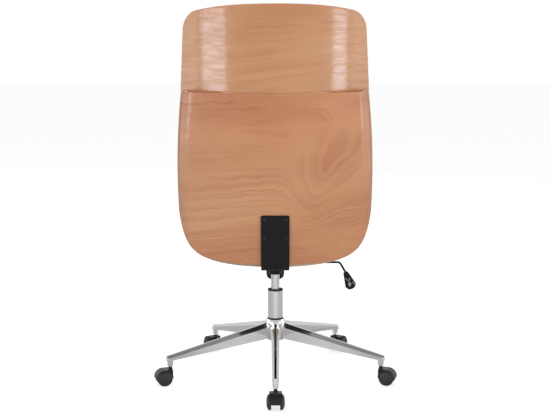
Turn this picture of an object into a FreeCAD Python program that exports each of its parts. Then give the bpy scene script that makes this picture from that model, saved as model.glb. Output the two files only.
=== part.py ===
import FreeCAD, Part
import math
import os

import Sketcher
from FreeCAD import Placement, Rotation, Vector

# Office armchair with a high bent wood back, on a five-armed swivel base with twin-wheel casters.
# The sitter faces -Y. The origin is on the floor, under the middle of the lift column, and +Z is up.
# Lengths are in millimetres and angles in degrees.

SIZES = (
    # Clearances, shared by all pieces
    ("running_clearance", 0.05),
    ("seat_clearance", 0.02),
    ("face_clearance", 0.3),
    ("overrun", 2.0),
    ("no_wall", 0.0),
    # Casters
    ("wheel_radius", 25.0),
    ("wheel_width", 15.0),
    ("wheel_gap", 27.0),
    ("wheel_shoulder", 9.0),
    ("wheel_dome", 4.0),
    ("wheel_crown", 0.7),
    ("wheel_rim_depth", 4.0),
    ("wheel_cap_radius", 12.0),
    ("wheel_bore_depth", 10.0),
    ("axle_radius", 3.0),
    ("caster_trail", 22.0),
    ("hood_side_gap", 0.8),
    ("hood_clearance_below", 16.0),
    ("hood_hem", 24.0),
    ("axle_eye_half", 8.0),
    ("saddle_low", 44.0),
    ("fender_gap", 0.8),
    ("fender_wall", 2.2),
    ("fender_width", 39.0),
    ("boss_radius", 7.5),
    ("boss_rise", 28.0),
    ("neck_below_boss", 4.0),
    ("stem_radius", 5.5),
    ("stem_length", 22.0),
    ("stem_neck_radius", 6.0),
    ("stem_neck_length", 9.0),
    ("stem_pivot_radius", 4.5),
    ("stem_pivot_length", 20.0),
    # Star base
    ("socket_reach", 360.7),
    ("socket_radius", 10.2),
    ("socket_foot_radius", 8.9),
    ("socket_drop", 16.0),
    ("arm_tip_margin", 0.8),
    ("arm_tip_depth", 17.0),
    ("arm_tip_width", 19.6),
    ("arm_tip_ridge", 7.0),
    ("arm_rise", 50.0),
    ("arm_root_depth", 53.0),
    ("arm_root_width", 28.0),
    ("arm_root_ridge", 10.0),
    ("arm_tip_shoulder", 8.0),
    ("arm_root_shoulder", 14.5),
    ("arm_wall", 3.0),
    ("hub_radius", 33.5),
    ("hub_lip", 6.0),
    ("hub_collar", 12.0),
    ("hub_top_radius", 29.5),
    ("hub_mouth_chamfer", 1.6),
    ("hub_foot_chamfer", 7.0),
    ("hub_web", 8.0),
    # Gas column
    ("column_radius", 25.0),
    ("column_foot_radius", 23.9),
    ("column_wall", 1.5),
    ("column_floor", 3.0),
    ("column_show", 96.0),
    ("ring_height", 4.0),
    ("ring_lip", 0.5),
    ("bush_length", 56.0),
    ("lift_down", 50.0),
    ("lift_up", 45.0),
    ("lift_spare", 1.7),
    ("piston_tube_radius", 14.0),
    ("piston_tube_wall", 2.0),
    ("piston_tube_top_radius", 13.3),
    ("piston_tube_cap", 8.0),
    ("guide_length", 12.0),
    ("rod_radius", 4.0),
    ("rod_collar_radius", 7.0),
    ("rod_collar_length", 3.0),
    ("rod_tail", 3.6),
    ("piston_length", 10.0),
    ("bearing_radius", 11.0),
    ("bearing_washer", 1.5),
    ("bearing_ball_radius", 1.6),
    ("bumper_radius", 10.0),
    ("bumper_length", 4.0),
    ("clip_radius", 8.0),
    ("clip_thickness", 1.6),
    ("pin_radius", 3.2),
    ("pin_stand", 5.5),
    ("pin_depth", 6.0),
    # Tilt mechanism
    ("cone_radius", 22.5),
    ("cone_foot_radius", 21.0),
    ("cone_drop", 22.0),
    ("cone_stand", 6.0),
    ("tray_width", 90.0),
    ("tray_front", 118.0),
    ("tray_rear", 58.0),
    ("tray_height", 36.0),
    ("tray_rear_height", 16.0),
    ("tray_wall", 3.0),
    ("stop_setback", 82.0),
    ("stop_width", 12.0),
    ("pivot_setback", 25.0),
    ("pivot_lift", 20.0),
    ("pivot_radius", 6.0),
    ("pivot_head_radius", 9.0),
    ("pivot_head_length", 3.0),
    ("ear_gap", 0.8),
    ("ear_length", 34.0),
    ("ear_drop", 15.0),
    ("plate_side", 170.0),
    ("plate_thickness", 3.0),
    ("plate_corner", 14.0),
    ("plate_stand", 11.0),
    ("plate_bolt_spacing", 140.0),
    ("tension_reach", 92.0),
    ("tension_bolt_radius", 5.0),
    ("tension_bolt_head", 9.0),
    ("tension_bolt_head_height", 5.0),
    ("tension_hole_radius", 12.0),
    ("knob_radius", 30.3),
    ("knob_height", 36.0),
    ("knob_wall", 4.0),
    ("knob_floor", 10.0),
    ("knob_drop", 37.0),
    ("knob_chamfer", 11.0),
    ("knob_flute_radius", 3.0),
    ("spring_radius", 17.0),
    ("spring_wire", 2.6),
    # Lever
    ("lever_radius", 3.5),
    ("lever_inner_end", 16.0),
    ("lever_reach", 213.0),
    ("lever_bend_radius", 14.0),
    ("lever_bush_radius", 6.0),
    ("lever_bush_length", 9.0),
    ("lever_bush_play", 0.6),
    ("lever_drop_across", 19.0),
    ("lever_drop_down", 34.0),
    ("paddle_length", 60.0),
    ("paddle_top_width", 15.0),
    ("paddle_width", 37.0),
    ("paddle_thickness", 11.0),
    ("paddle_corner", 8.0),
    ("paddle_round", 2.6),
    ("paddle_bore_depth", 16.0),
    ("paddle_lean", 22.0),
    ("paddle_bend_above", 3.0),
    # Seat
    ("board_thickness", 14.0),
    ("board_rear_radius", 240.0),
    ("board_front", 235.0),
    ("board_corner", 60.0),
    ("bolt_radius", 3.0),
    ("bolt_hole_clearance", 0.3),
    ("bolt_head_radius", 5.5),
    ("bolt_head_height", 4.0),
    ("nut_radius", 4.5),
    ("nut_flange_radius", 9.5),
    ("nut_flange_height", 1.2),
    ("cushion_half_width", 255.0),
    ("cushion_rear", 235.0),
    ("cushion_front", 265.0),
    ("cushion_rear_corner", 150.0),
    ("cushion_front_corner", 75.0),
    ("cushion_height", 83.0),
    ("cushion_foot_inset", 25.0),
    # Bent wood lower back, with its two side wings
    ("ply_thickness", 12.0),
    ("shell_rear", 258.0),
    ("shell_drop", 11.0),
    ("shell_height", 538.0),
    ("shell_lean", 7.83),
    ("shell_plan_radius", 950.0),
    ("shell_flank_start", 265.0),
    ("shell_half_width", 303.2),
    ("shell_waist_height", 257.0),
    ("shell_taper", 16.0),
    ("shell_taper_height", 281.0),
    ("belly_rise", 26.0),
    ("corner_height", 70.0),
    ("corner_reach", 300.0),
    ("wing_length", 286.0),
    ("wing_under", 170.0),
    ("wing_top", 277.0),
    ("wing_sweep_start", 12.0),
    ("wing_sweep_length", 118.0),
    ("wing_end_round", 46.0),
    # Bent wood head panel
    ("panel_gap", 0.6),
    ("head_height", 265.4),
    ("head_set_back", 1.0),
    ("head_lean", 5.2),
    ("head_plan_radius", 450.0),
    ("head_foot_half_length", 313.8),
    ("head_top_half_length", 294.6),
    ("head_arch", 31.8),
    ("head_corner", 46.0),
    # Strap between the two wood panels
    ("strap_width", 80.0),
    ("strap_thickness", 4.0),
    ("strap_half_length", 110.0),
    ("strap_screw_across", 26.0),
    ("strap_screw_near", 30.0),
    ("strap_screw_far", 90.0),
    # Back bracket
    ("bracket_width", 88.0),
    ("bracket_thickness", 6.0),
    ("bracket_above_board", 156.0),
    ("bracket_reach", 95.0),
    ("bracket_bend", 3.0),
    ("bracket_corner", 6.0),
    ("bracket_screw_across", 33.0),
    ("bracket_screw_margin", 12.0),
    ("bracket_screw_spacing", 59.0),
    ("bracket_bolt_across", 25.0),
    ("bracket_bolt_margin", 20.0),
    ("screw_radius", 2.2),
    ("screw_head_radius", 4.0),
    ("screw_head_height", 2.0),
    ("screw_bite", 9.0),
    # Pads on the wood panels
    ("pad_board_thickness", 8.0),
    ("back_pad_half_length", 280.0),
    ("back_pad_foot", 96.0),
    ("back_pad_head_margin", 14.0),
    ("back_pad_thickness", 55.0),
    ("back_pad_edge", 16.0),
    ("head_pad_margin", 20.0),
    ("head_pad_thickness", 46.0),
    ("head_pad_edge", 14.0),
    ("pad_board_inset", 26.0),
    ("arm_pad_margin", 12.0),
    ("arm_pad_thickness", 21.0),
    ("arm_pad_edge", 9.0),
)

ARM_COUNT = 5
KNOB_FLUTES = 12
SPRING_TURNS = 5
BEARING_BALLS = 10
SKIN_STEPS = 12
PAD_STEPS = 10
BACK_PAD_STEPS = 14
# A round corner of a panel is followed this far round, so that its skins meet in a short upright edge
CORNER_LIMIT = 80.0

# Where an arm of the star base is widest, and how wide its foot is, as shares of its depth and width
ARM_FOOT_SHARE = 0.84
# The rise of the lower back's bottom edge: gentle at first, steep at its corners, then level
BELLY_EXPONENT = 2.5
CORNER_EXPONENT = 9.5
CORNER_KNEE = 6.0
# How the head panel's top edge falls off towards its corners
ARCH_EXPONENT = 2.5
# Where the grip is widest, above its lower end, as a share of its corner
PADDLE_HIP_SHARE = 1.6
# How high and how far in each ring of the seat cushion lies, as shares of its height and foot inset
CUSHION_RING_SHARES = (
    (0.0, 1.0),
    (0.16, 0.30),
    (0.42, 0.0),
    (0.68, 0.16),
    (0.86, 0.66),
    (0.96, 1.7),
    (1.0, 3.2),
)
# How far out a pad on a panel keeps its full thickness before it rounds down to its rim
PAD_EXPONENT = 4.0


class Size(float):
    """A length or angle from the sheet, or worked out from some, with the expression that gives it."""

    def __new__(cls, value, text):
        made = super().__new__(cls, value)
        made.text = text
        return made

    def __add__(self, other):
        return Size(float(self) + float(other), f"({self.text} + {text_of(other)})")

    def __radd__(self, other):
        return Size(float(other) + float(self), f"({text_of(other)} + {self.text})")

    def __sub__(self, other):
        return Size(float(self) - float(other), f"({self.text} - {text_of(other)})")

    def __rsub__(self, other):
        return Size(float(other) - float(self), f"({text_of(other)} - {self.text})")

    def __mul__(self, other):
        return Size(float(self) * float(other), f"({self.text} * {text_of(other)})")

    __rmul__ = __mul__

    def __truediv__(self, other):
        return Size(float(self) / float(other), f"({self.text} / {text_of(other)})")

    def __neg__(self):
        return Size(-float(self), f"(-1 * {self.text})")


def text_of(value):
    """The expression of a size, or a plain number as text."""
    return value.text if isinstance(value, Size) else repr(float(value))


class Sheet:
    """The spreadsheet of driving sizes; each alias reads as an attribute."""

    def __init__(self, doc):
        self.sheet = doc.addObject("Spreadsheet::Sheet", "Sizes")
        for row, (alias, value) in enumerate(SIZES, start=1):
            self.sheet.set(f"A{row}", alias)
            self.sheet.set(f"B{row}", str(value))
            self.sheet.setAlias(f"B{row}", alias)
        doc.recompute()

    def __getattr__(self, alias):
        return Size(float(self.sheet.get(alias)), f"Sizes.{alias}")


doc = FreeCAD.newDocument("office_armchair")
size = Sheet(doc)
nodes = {}


def keep(thing, name):
    """Names a finished sub-part, so that it is written to a file of that name."""
    thing.Label = name
    nodes[name] = thing
    return thing


def bind(thing, **values):
    """Sets properties of a document object, bound to the sheet where they are sizes."""
    for prop, value in values.items():
        if isinstance(value, Size):
            thing.setExpression(prop, value.text)
        else:
            setattr(thing, prop, value)
    return thing


def turned_about_column(index):
    """The placement of a copy of what stands at the first arm of the star base."""
    return Placement(Vector(), Rotation(Vector(0, 0, 1), 360 / ARM_COUNT * index))


# Plain solids and their booleans

AXIS_TURNS = {
    "X": Rotation(Vector(0, 1, 0), 90),
    "Y": Rotation(Vector(1, 0, 0), -90),
    "Z": Rotation(),
}


def place(thing, corner, turn=Rotation()):
    thing.Placement = Placement(Vector(), turn)
    for key, value in zip("xyz", corner):
        if isinstance(value, Size):
            thing.setExpression(f"Placement.Base.{key}", value.text)
    return thing


def cylinder(name, radius, length, start, axis="Z"):
    """A bar of that radius from start along an axis."""
    thing = doc.addObject("Part::Cylinder", name)
    bind(thing, Radius=radius, Height=length)
    return place(thing, start, AXIS_TURNS[axis])


def cone(name, low_radius, high_radius, height, start):
    thing = doc.addObject("Part::Cone", name)
    bind(thing, Radius1=low_radius, Radius2=high_radius, Height=height)
    return place(thing, start)


def block(name, length, width, height, corner):
    thing = doc.addObject("Part::Box", name)
    bind(thing, Length=length, Width=width, Height=height)
    return place(thing, corner)


def fused(name, parts):
    thing = doc.addObject("Part::MultiFuse", name)
    thing.Shapes = parts
    return thing


def without(name, base, tool):
    thing = doc.addObject("Part::Cut", name)
    thing.Base = base
    thing.Tool = tool
    return thing


# Bodies made of sketches and features


def body(name):
    return keep(doc.addObject("PartDesign::Body", name), name)


def origin_feature(owner, role):
    return next(f for f in owner.Origin.OriginFeatures if f.Role == role)


def sketch(owner, name, role, offset=None):
    """A sketch on one of the body's origin planes, or at an offset along that plane's normal."""
    made = owner.newObject("Sketcher::SketchObject", name)
    made.AttachmentSupport = [(origin_feature(owner, role), "")]
    made.MapMode = "FlatFace"
    if offset is not None:
        made.setExpression("AttachmentOffset.Base.z", text_of(offset))
    return made


def pin(made, kind, index, position, value):
    """Ties one coordinate of a sketch point to a size, or to the axis where it is zero."""
    if not isinstance(value, Size):
        axis = -2 if kind == "DistanceX" else -1
        made.addConstraint(Sketcher.Constraint("PointOnObject", index, position, axis))
        return
    number = made.addConstraint(Sketcher.Constraint(kind, -1, 1, index, position, float(value)))
    made.setExpression(f"Constraints[{number}]", value.text)


def polygon(made, points):
    """A closed outline of straight lines through points that are tied to the sheet."""
    count = len(points)
    first = made.GeometryCount
    for index, (across, up) in enumerate(points):
        next_across, next_up = points[(index + 1) % count]
        line = Part.LineSegment(Vector(across, up, 0), Vector(next_across, next_up, 0))
        made.addGeometry(line)
    for index in range(count):
        here, there = first + index, first + (index + 1) % count
        made.addConstraint(Sketcher.Constraint("Coincident", here, 2, there, 1))
    for index, (across, up) in enumerate(points):
        pin(made, "DistanceX", first + index, 1, across)
        pin(made, "DistanceY", first + index, 1, up)
    return made


def box_outline(made, low_across, low_up, high_across, high_up):
    corners = ((low_across, low_up), (high_across, low_up), (high_across, high_up), (low_across, high_up))
    return polygon(made, corners)


def feature(owner, kind, name, profile, **values):
    """A pad, pocket, revolution or groove of a sketch."""
    made = owner.newObject(f"PartDesign::{kind}", name)
    made.Profile = profile
    bind(made, **values)
    return made


def lathe(owner, name, points, kind="Revolution"):
    """A revolved profile, whose points are (radius, height), about the body's Z axis."""
    profile = polygon(sketch(owner, f"{name}_profile", "XZ_Plane"), points)
    made = feature(owner, kind, name, profile)
    made.ReferenceAxis = (profile, ["V_Axis"])
    made.Angle = 360
    return made


def drilled(owner, name, radius, length, start, axis="Z"):
    """A round hole from start along an axis."""
    made = owner.newObject("PartDesign::SubtractiveCylinder", name)
    bind(made, Radius=radius, Height=length)
    attach(owner, made, start, axis)
    return made


def attach(owner, made, start, axis="Z"):
    """Seats a primitive feature of a body at a point, with its own axis along X, Y or Z."""
    made.AttachmentSupport = [(origin_feature(owner, "XY_Plane"), "")]
    made.MapMode = "FlatFace"
    made.AttachmentOffset = Placement(Vector(), AXIS_TURNS[axis])
    for key, value in zip("xyz", start):
        if isinstance(value, Size):
            made.setExpression(f"AttachmentOffset.Base.{key}", value.text)
    return made


def edges_where(shape, test):
    """Names of a shape's edges whose middle point passes a test."""
    found = []
    for number, edge in enumerate(shape.Edges, start=1):
        middle = edge.valueAt((edge.FirstParameter + edge.LastParameter) / 2)
        if test(middle, edge):
            found.append(f"Edge{number}")
    return found


def dressed(owner, kind, name, test, **values):
    """A fillet or chamfer on the edges of the body's latest feature that pass a test."""
    doc.recompute()
    base = owner.Tip
    made = owner.newObject(f"PartDesign::{kind}", name)
    made.Base = (base, edges_where(base.Shape, test))
    bind(made, **values)
    return made


def shaped(name, shape):
    """A sub-part whose shape is set directly, for bent panels, pads and wound pieces."""
    thing = doc.addObject("Part::Feature", name)
    thing.Shape = shape
    return keep(thing, name)


# Heights above the floor, worked up from the wheels

boss_top = size.wheel_radius + size.boss_rise
socket_foot = boss_top + size.stem_neck_length + size.face_clearance
tip_low = socket_foot + size.socket_drop
tip_high = tip_low + size.arm_tip_depth
root_low = tip_low + size.arm_rise
root_high = root_low + size.arm_root_depth
hub_foot = root_low - size.hub_lip
hub_top = root_high + size.hub_collar
column_top = hub_top + size.column_show
ring_top = column_top + size.ring_height
cone_foot = ring_top + size.lift_down + size.lift_spare
tray_low = cone_foot + size.cone_drop
plate_low = tray_low + size.tray_height + size.plate_stand
board_low = plate_low + size.plate_thickness
board_high = board_low + size.board_thickness
shell_low = board_low + size.shell_drop
shell_high = shell_low + size.shell_height
head_low = shell_high + size.panel_gap
head_high = head_low + size.head_height


# Casters

hood_half_width = size.wheel_gap / 2 - size.hood_side_gap
wheel_inner_face = size.wheel_gap / 2
wheel_bore_radius = size.axle_radius + size.running_clearance
axle_half_length = wheel_inner_face + size.wheel_bore_depth - size.face_clearance
axle_reach = size.socket_reach + size.caster_trail
fender_inner = size.wheel_radius + size.fender_gap
fender_outer = fender_inner + size.fender_wall
pivot_foot = boss_top - size.stem_pivot_length


def caster_hood(index):
    """The hood between and over the two wheels, with the boss that turns on the stem."""
    name = f"caster_hood_{index + 1}"
    middle = (size.socket_reach + axle_reach) / 2
    web_width = hood_half_width * 2
    centre = size.wheel_radius
    web = cylinder(f"{name}_web", fender_inner, web_width, (-hood_half_width, axle_reach, centre), "X")
    neck_rear = size.socket_reach - size.boss_radius
    neck = block(
        f"{name}_neck",
        size.boss_radius * 2,
        middle - neck_rear,
        boss_top - size.hood_hem - size.neck_below_boss,
        (-size.boss_radius, neck_rear, size.hood_hem),
    )
    fender_left = -size.fender_width / 2
    band = cylinder(f"{name}_band", fender_outer, size.fender_width, (fender_left, axle_reach, centre), "X")
    hollow = cylinder(
        f"{name}_hollow",
        fender_inner,
        size.fender_width + size.overrun * 2,
        (-size.fender_width / 2 - size.overrun, axle_reach, size.wheel_radius),
        "X",
    )
    saddle = block(
        f"{name}_saddle",
        size.fender_width,
        size.caster_trail,
        centre + fender_outer - size.saddle_low,
        (fender_left, size.socket_reach, size.saddle_low),
    )
    fender = without(f"{name}_fender", fused(f"{name}_roof", [band, saddle]), hollow)
    boss = cylinder(f"{name}_boss", size.boss_radius, boss_top - centre, (0, size.socket_reach, centre))
    whole = fused(f"{name}_whole", [web, neck, fender, boss])
    span = fender_outer * 2 + size.overrun * 2
    underside = size.wheel_radius - fender_outer - size.overrun
    ground_cut = block(
        f"{name}_ground_cut",
        span,
        span,
        size.hood_clearance_below - underside,
        (-span / 2, axle_reach - span / 2, underside),
    )
    hem_starts = (axle_reach + size.axle_eye_half, axle_reach - size.axle_eye_half - span / 2)
    hem_height = size.hood_hem - underside
    hem_cuts = [
        block(f"{name}_hem_cut_{end}", span, span / 2, hem_height, (-span / 2, start, underside))
        for end, start in enumerate(hem_starts)
    ]
    stem_hole = cylinder(
        f"{name}_stem_hole",
        size.stem_pivot_radius + size.running_clearance,
        size.stem_pivot_length + size.overrun + size.face_clearance,
        (0, size.socket_reach, pivot_foot - size.face_clearance),
    )
    axle_hole = cylinder(
        f"{name}_axle_hole",
        wheel_bore_radius,
        web_width + size.overrun * 2,
        (-hood_half_width - size.overrun, axle_reach, size.wheel_radius),
        "X",
    )
    cuts = fused(f"{name}_cuts", [ground_cut, *hem_cuts, stem_hole, axle_hole])
    hood = without(name, whole, cuts)
    hood.Placement = turned_about_column(index)
    keep(hood, name)


def caster_axle(index):
    name = f"caster_axle_{index + 1}"
    start = Vector(-axle_half_length, axle_reach, size.wheel_radius)
    axle = doc.addObject("Part::Cylinder", name)
    bind(axle, Radius=size.axle_radius, Height=axle_half_length * 2)
    axle.Placement = turned_about_column(index) * Placement(start, AXIS_TURNS["X"])
    keep(axle, name)


def caster_stem(index):
    """The pin that is pushed into the arm's socket, with the neck that the hood turns under."""
    name = f"caster_stem_{index + 1}"
    stem = body(name)
    neck_low = boss_top + size.face_clearance
    top = socket_foot + size.stem_length
    points = (
        (0, pivot_foot),
        (size.stem_pivot_radius, pivot_foot),
        (size.stem_pivot_radius, neck_low),
        (size.stem_neck_radius, neck_low),
        (size.stem_neck_radius, socket_foot),
        (size.stem_radius, socket_foot),
        (size.stem_radius, top),
        (0, top),
    )
    lathe(stem, f"{name}_turned", points)
    stem.Placement = turned_about_column(index) * Placement(Vector(0, size.socket_reach, 0), Rotation())


def caster_wheel(index, side, turn):
    """One twin wheel, with a domed outer face and a blind bore; its local Z points out of the caster."""
    name = f"caster_wheel_{index + 1}_{side}"
    wheel = body(name)
    rim = size.wheel_radius - size.wheel_rim_depth
    width = size.wheel_width
    shoulder = width - size.wheel_shoulder
    dome = width - size.wheel_dome
    groove = (shoulder + dome) / 2
    points = (
        (wheel_bore_radius, 0),
        (size.wheel_radius - size.fender_gap, 0),
        (size.wheel_radius, size.fender_gap),
        (size.wheel_radius, shoulder),
        (size.wheel_radius - size.wheel_rim_depth / 3, groove),
        (rim, dome),
        (size.wheel_cap_radius, width - size.wheel_crown),
        (0, width),
        (0, size.wheel_bore_depth),
        (wheel_bore_radius, size.wheel_bore_depth),
    )
    lathe(wheel, f"{name}_turned", points)
    start = Vector(turn * wheel_inner_face, axle_reach, size.wheel_radius)
    wheel.Placement = turned_about_column(index) * Placement(start, Rotation(Vector(0, 1, 0), 90 * turn))


def casters():
    for index in range(ARM_COUNT):
        caster_stem(index)
        caster_hood(index)
        caster_axle(index)
        caster_wheel(index, "a", 1)
        caster_wheel(index, "b", -1)


# Star base

def arm_section(name, reach, low, high, width, ridge, drop, wall, floor):
    """A six-sided section of an arm, drawn in by a wall for the hollow, at a distance from the column."""
    half, foot = width / 2 - wall, width / 2 * ARM_FOOT_SHARE - wall
    ridge_half = ridge / 2 - wall / 2
    shoulder = high - drop
    made = doc.addObject("Sketcher::SketchObject", name)
    made.Placement = Placement(Vector(), Rotation(Vector(1, 0, 0), 90))
    made.setExpression("Placement.Base.y", reach.text)
    points = (
        (-ridge_half, high - wall),
        (ridge_half, high - wall),
        (half, shoulder),
        (foot, low - floor),
        (-foot, low - floor),
        (-half, shoulder),
    )
    return polygon(made, points)


def lofted(name, sections):
    thing = doc.addObject("Part::Loft", name)
    thing.Sections = sections
    thing.Solid = True
    thing.Ruled = True
    return thing


def section_at(reach, root, tip):
    """Low edge, high edge, width, ridge and shoulder drop of an arm at a distance from the column."""
    share = (reach - root) / (tip - root)
    pairs = (
        (root_low, tip_low),
        (root_high, tip_high),
        (size.arm_root_width, size.arm_tip_width),
        (size.arm_root_ridge, size.arm_tip_ridge),
        (size.arm_root_shoulder, size.arm_tip_shoulder),
    )
    return [near + (far - near) * share for near, far in pairs]


def star_arm(index):
    """One arm: a ridged taper, hollow below, that ends in a caster socket."""
    name = f"arm_{index + 1}"
    root = (size.column_radius + size.hub_radius) / 2
    tip = size.socket_reach + size.socket_radius + size.arm_tip_margin
    inner_root = size.hub_radius + size.hub_web
    inner_tip = size.socket_reach - size.socket_radius - size.arm_wall
    ends = [
        arm_section(f"{name}_section_{end}", reach, *section_at(reach, root, tip), size.no_wall, size.no_wall)
        for end, reach in enumerate((root, tip))
    ]
    inner_ends = [
        arm_section(f"{name}_hollow_{end}", reach, *section_at(reach, root, tip), size.arm_wall, size.overrun)
        for end, reach in enumerate((inner_root, inner_tip))
    ]
    solid = lofted(f"{name}_solid", ends)
    hollow = lofted(f"{name}_hollow", inner_ends)
    socket = cone(
        f"{name}_socket",
        size.socket_foot_radius,
        size.socket_radius,
        tip_low + size.arm_tip_depth / 2 - socket_foot,
        (0, size.socket_reach, socket_foot),
    )
    bore = cylinder(
        f"{name}_bore",
        size.stem_radius + size.seat_clearance,
        size.stem_length + size.face_clearance + size.overrun,
        (0, size.socket_reach, socket_foot - size.overrun),
    )
    arm = without(name, fused(f"{name}_whole", [solid, socket]), fused(f"{name}_cuts", [hollow, bore]))
    arm.Placement = turned_about_column(index)
    return arm


def star_hub():
    """The tapering hub, whose bore grips the column's foot."""
    hub = doc.addObject("PartDesign::Body", "hub")
    bore_top = size.column_radius + size.seat_clearance
    bore_low = size.column_foot_radius + size.seat_clearance
    mouth = size.hub_mouth_chamfer
    points = (
        (bore_low, hub_foot),
        (size.hub_radius - size.hub_foot_chamfer, hub_foot),
        (size.hub_radius - size.hub_foot_chamfer / 4, hub_foot + size.hub_foot_chamfer / 2),
        (size.hub_radius, hub_foot + size.hub_foot_chamfer * 1.5),
        (size.hub_radius, root_high),
        (size.hub_top_radius, hub_top),
        (bore_top + mouth, hub_top),
        (bore_top, hub_top - mouth),
    )
    lathe(hub, "hub_turned", points)
    return hub


def star_base():
    base = fused("star_base", [star_hub()] + [star_arm(index) for index in range(ARM_COUNT)])
    keep(base, "star_base")


# Gas column

column_foot = hub_foot
column_inner = size.column_radius - size.column_wall
column_floor_top = column_foot + size.column_floor
bearing_height = size.bearing_washer * 2 + size.bearing_ball_radius * 2
collar_low = column_floor_top + bearing_height
collar_top = collar_low + size.rod_collar_length
bumper_top = collar_top + size.bumper_length
tube_foot = bumper_top + size.lift_down + size.face_clearance
tube_top = tray_low + size.cone_stand
piston_low = tube_foot + size.guide_length + size.lift_up + size.lift_spare
piston_top = piston_low + size.piston_length
tube_bore = size.piston_tube_radius - size.piston_tube_wall
pin_top = tube_top + size.pin_stand


def gas_outer_tube():
    """The chromed outer tube, tapered where the hub grips it, with a floor that holds the rod."""
    tube = body("gas_outer_tube")
    wall = size.column_wall
    points = (
        (size.rod_radius + size.running_clearance, column_foot),
        (size.column_foot_radius, column_foot),
        (size.column_radius, hub_top),
        (size.column_radius, column_top),
        (column_inner, column_top),
        (column_inner, hub_top),
        (size.column_foot_radius - wall, column_floor_top),
        (size.rod_radius + size.running_clearance, column_floor_top),
    )
    lathe(tube, "outer_tube", points)


def gas_guide_bush():
    """The plastic bush that guides the inner tube, with the dark ring on top."""
    bush = body("gas_guide_bush")
    inner = size.piston_tube_radius + size.running_clearance
    outer = column_inner - size.seat_clearance
    lip = size.column_radius + size.ring_lip
    low = column_top - size.bush_length
    points = (
        (inner, low),
        (outer, low),
        (outer, column_top + size.seat_clearance),
        (lip, column_top + size.seat_clearance),
        (lip, ring_top - size.ring_lip),
        (lip - size.ring_lip, ring_top),
        (inner + size.ring_lip, ring_top),
        (inner, ring_top - size.ring_lip),
    )
    lathe(bush, "guide_bush", points)


def gas_inner_tube():
    """The chromed tube that slides, tapered at its top where the mechanism's cone grips it."""
    tube = body("gas_inner_tube")
    cap_low = tube_top - size.piston_tube_cap
    pin_hole = size.pin_radius + size.running_clearance
    points = (
        (tube_bore, tube_foot),
        (size.piston_tube_radius, tube_foot),
        (size.piston_tube_radius, cone_foot),
        (size.piston_tube_top_radius, tube_top),
        (pin_hole, tube_top),
        (pin_hole, cap_low),
        (tube_bore, cap_low),
    )
    lathe(tube, "inner_tube", points)


def gas_release_pin():
    pin_body = body("gas_release_pin")
    low = tube_top - size.piston_tube_cap - size.pin_depth
    head = size.pin_radius + size.piston_tube_wall
    head_top = tube_top - size.piston_tube_cap - size.face_clearance
    stem = size.pin_radius
    points = ((0, low), (head, low), (head, head_top), (stem, head_top), (stem, pin_top), (0, pin_top))
    lathe(pin_body, "release_pin", points)


def gas_rod_guide():
    """The seal at the inner tube's foot, through which the rod passes."""
    guide = body("gas_rod_guide")
    inner = size.rod_radius + size.running_clearance
    outer = tube_bore - size.seat_clearance
    top = tube_foot + size.guide_length
    points = ((inner, tube_foot), (outer, tube_foot), (outer, top), (inner, top))
    lathe(guide, "rod_guide", points)


def gas_piston_rod():
    rod = body("gas_piston_rod")
    tail = column_foot - size.rod_tail
    points = (
        (0, tail),
        (size.rod_radius, tail),
        (size.rod_radius, collar_low + size.seat_clearance),
        (size.rod_collar_radius, collar_low + size.seat_clearance),
        (size.rod_collar_radius, collar_top),
        (size.rod_radius, collar_top),
        (size.rod_radius, piston_low),
        (0, piston_low),
    )
    lathe(rod, "piston_rod", points)


def gas_piston():
    piston = body("gas_piston")
    outer = tube_bore - size.running_clearance
    groove = outer - size.piston_tube_wall / 2
    band = size.piston_length / 3
    points = (
        (0, piston_low),
        (outer, piston_low),
        (outer, piston_low + band),
        (groove, piston_low + band),
        (groove, piston_top - band),
        (outer, piston_top - band),
        (outer, piston_top),
        (0, piston_top),
    )
    lathe(piston, "piston", points)


def gas_bumper():
    bumper = body("gas_bumper")
    inner = size.rod_radius + size.running_clearance
    outer = size.bumper_radius
    points = ((inner, collar_top), (outer, collar_top), (outer, bumper_top), (inner, bumper_top))
    lathe(bumper, "bumper", points)


def gas_thrust_bearing():
    """Two washers with a ring of balls between them, under the rod's collar."""
    inner = size.rod_radius + size.running_clearance
    parts = []
    for level, low in (("lower", column_floor_top), ("upper", collar_low - size.bearing_washer)):
        disc = cylinder(f"bearing_{level}_disc", size.bearing_radius, size.bearing_washer, (0, 0, low))
        hole = cylinder(
            f"bearing_{level}_hole", inner, size.bearing_washer + size.overrun * 2, (0, 0, low - size.overrun)
        )
        parts.append(without(f"bearing_{level}_washer", disc, hole))
    track = (size.bearing_radius + size.rod_radius) / 2
    height = column_floor_top + size.bearing_washer + size.bearing_ball_radius
    for number in range(BEARING_BALLS):
        turn = 2 * math.pi * number / BEARING_BALLS
        ball = doc.addObject("Part::Sphere", f"bearing_ball_{number}")
        bind(ball, Radius=size.bearing_ball_radius - size.seat_clearance)
        place(ball, (track * math.cos(turn), track * math.sin(turn), height))
        parts.append(ball)
    bearing = doc.addObject("Part::Compound", "gas_thrust_bearing")
    bearing.Links = parts
    keep(bearing, "gas_thrust_bearing")


def gas_bottom_clip():
    """The clip that holds the rod's tail under the column's floor."""
    clip = body("gas_bottom_clip")
    inner = size.rod_radius + size.running_clearance
    top = column_foot - size.seat_clearance
    low = top - size.clip_thickness
    points = ((inner, low), (size.clip_radius, low), (size.clip_radius, top), (inner, top))
    lathe(clip, "bottom_clip", points)


def gas_column():
    gas_outer_tube()
    gas_guide_bush()
    gas_inner_tube()
    gas_release_pin()
    gas_rod_guide()
    gas_piston_rod()
    gas_piston()
    gas_bumper()
    gas_thrust_bearing()
    gas_bottom_clip()


# Tilt mechanism

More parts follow.
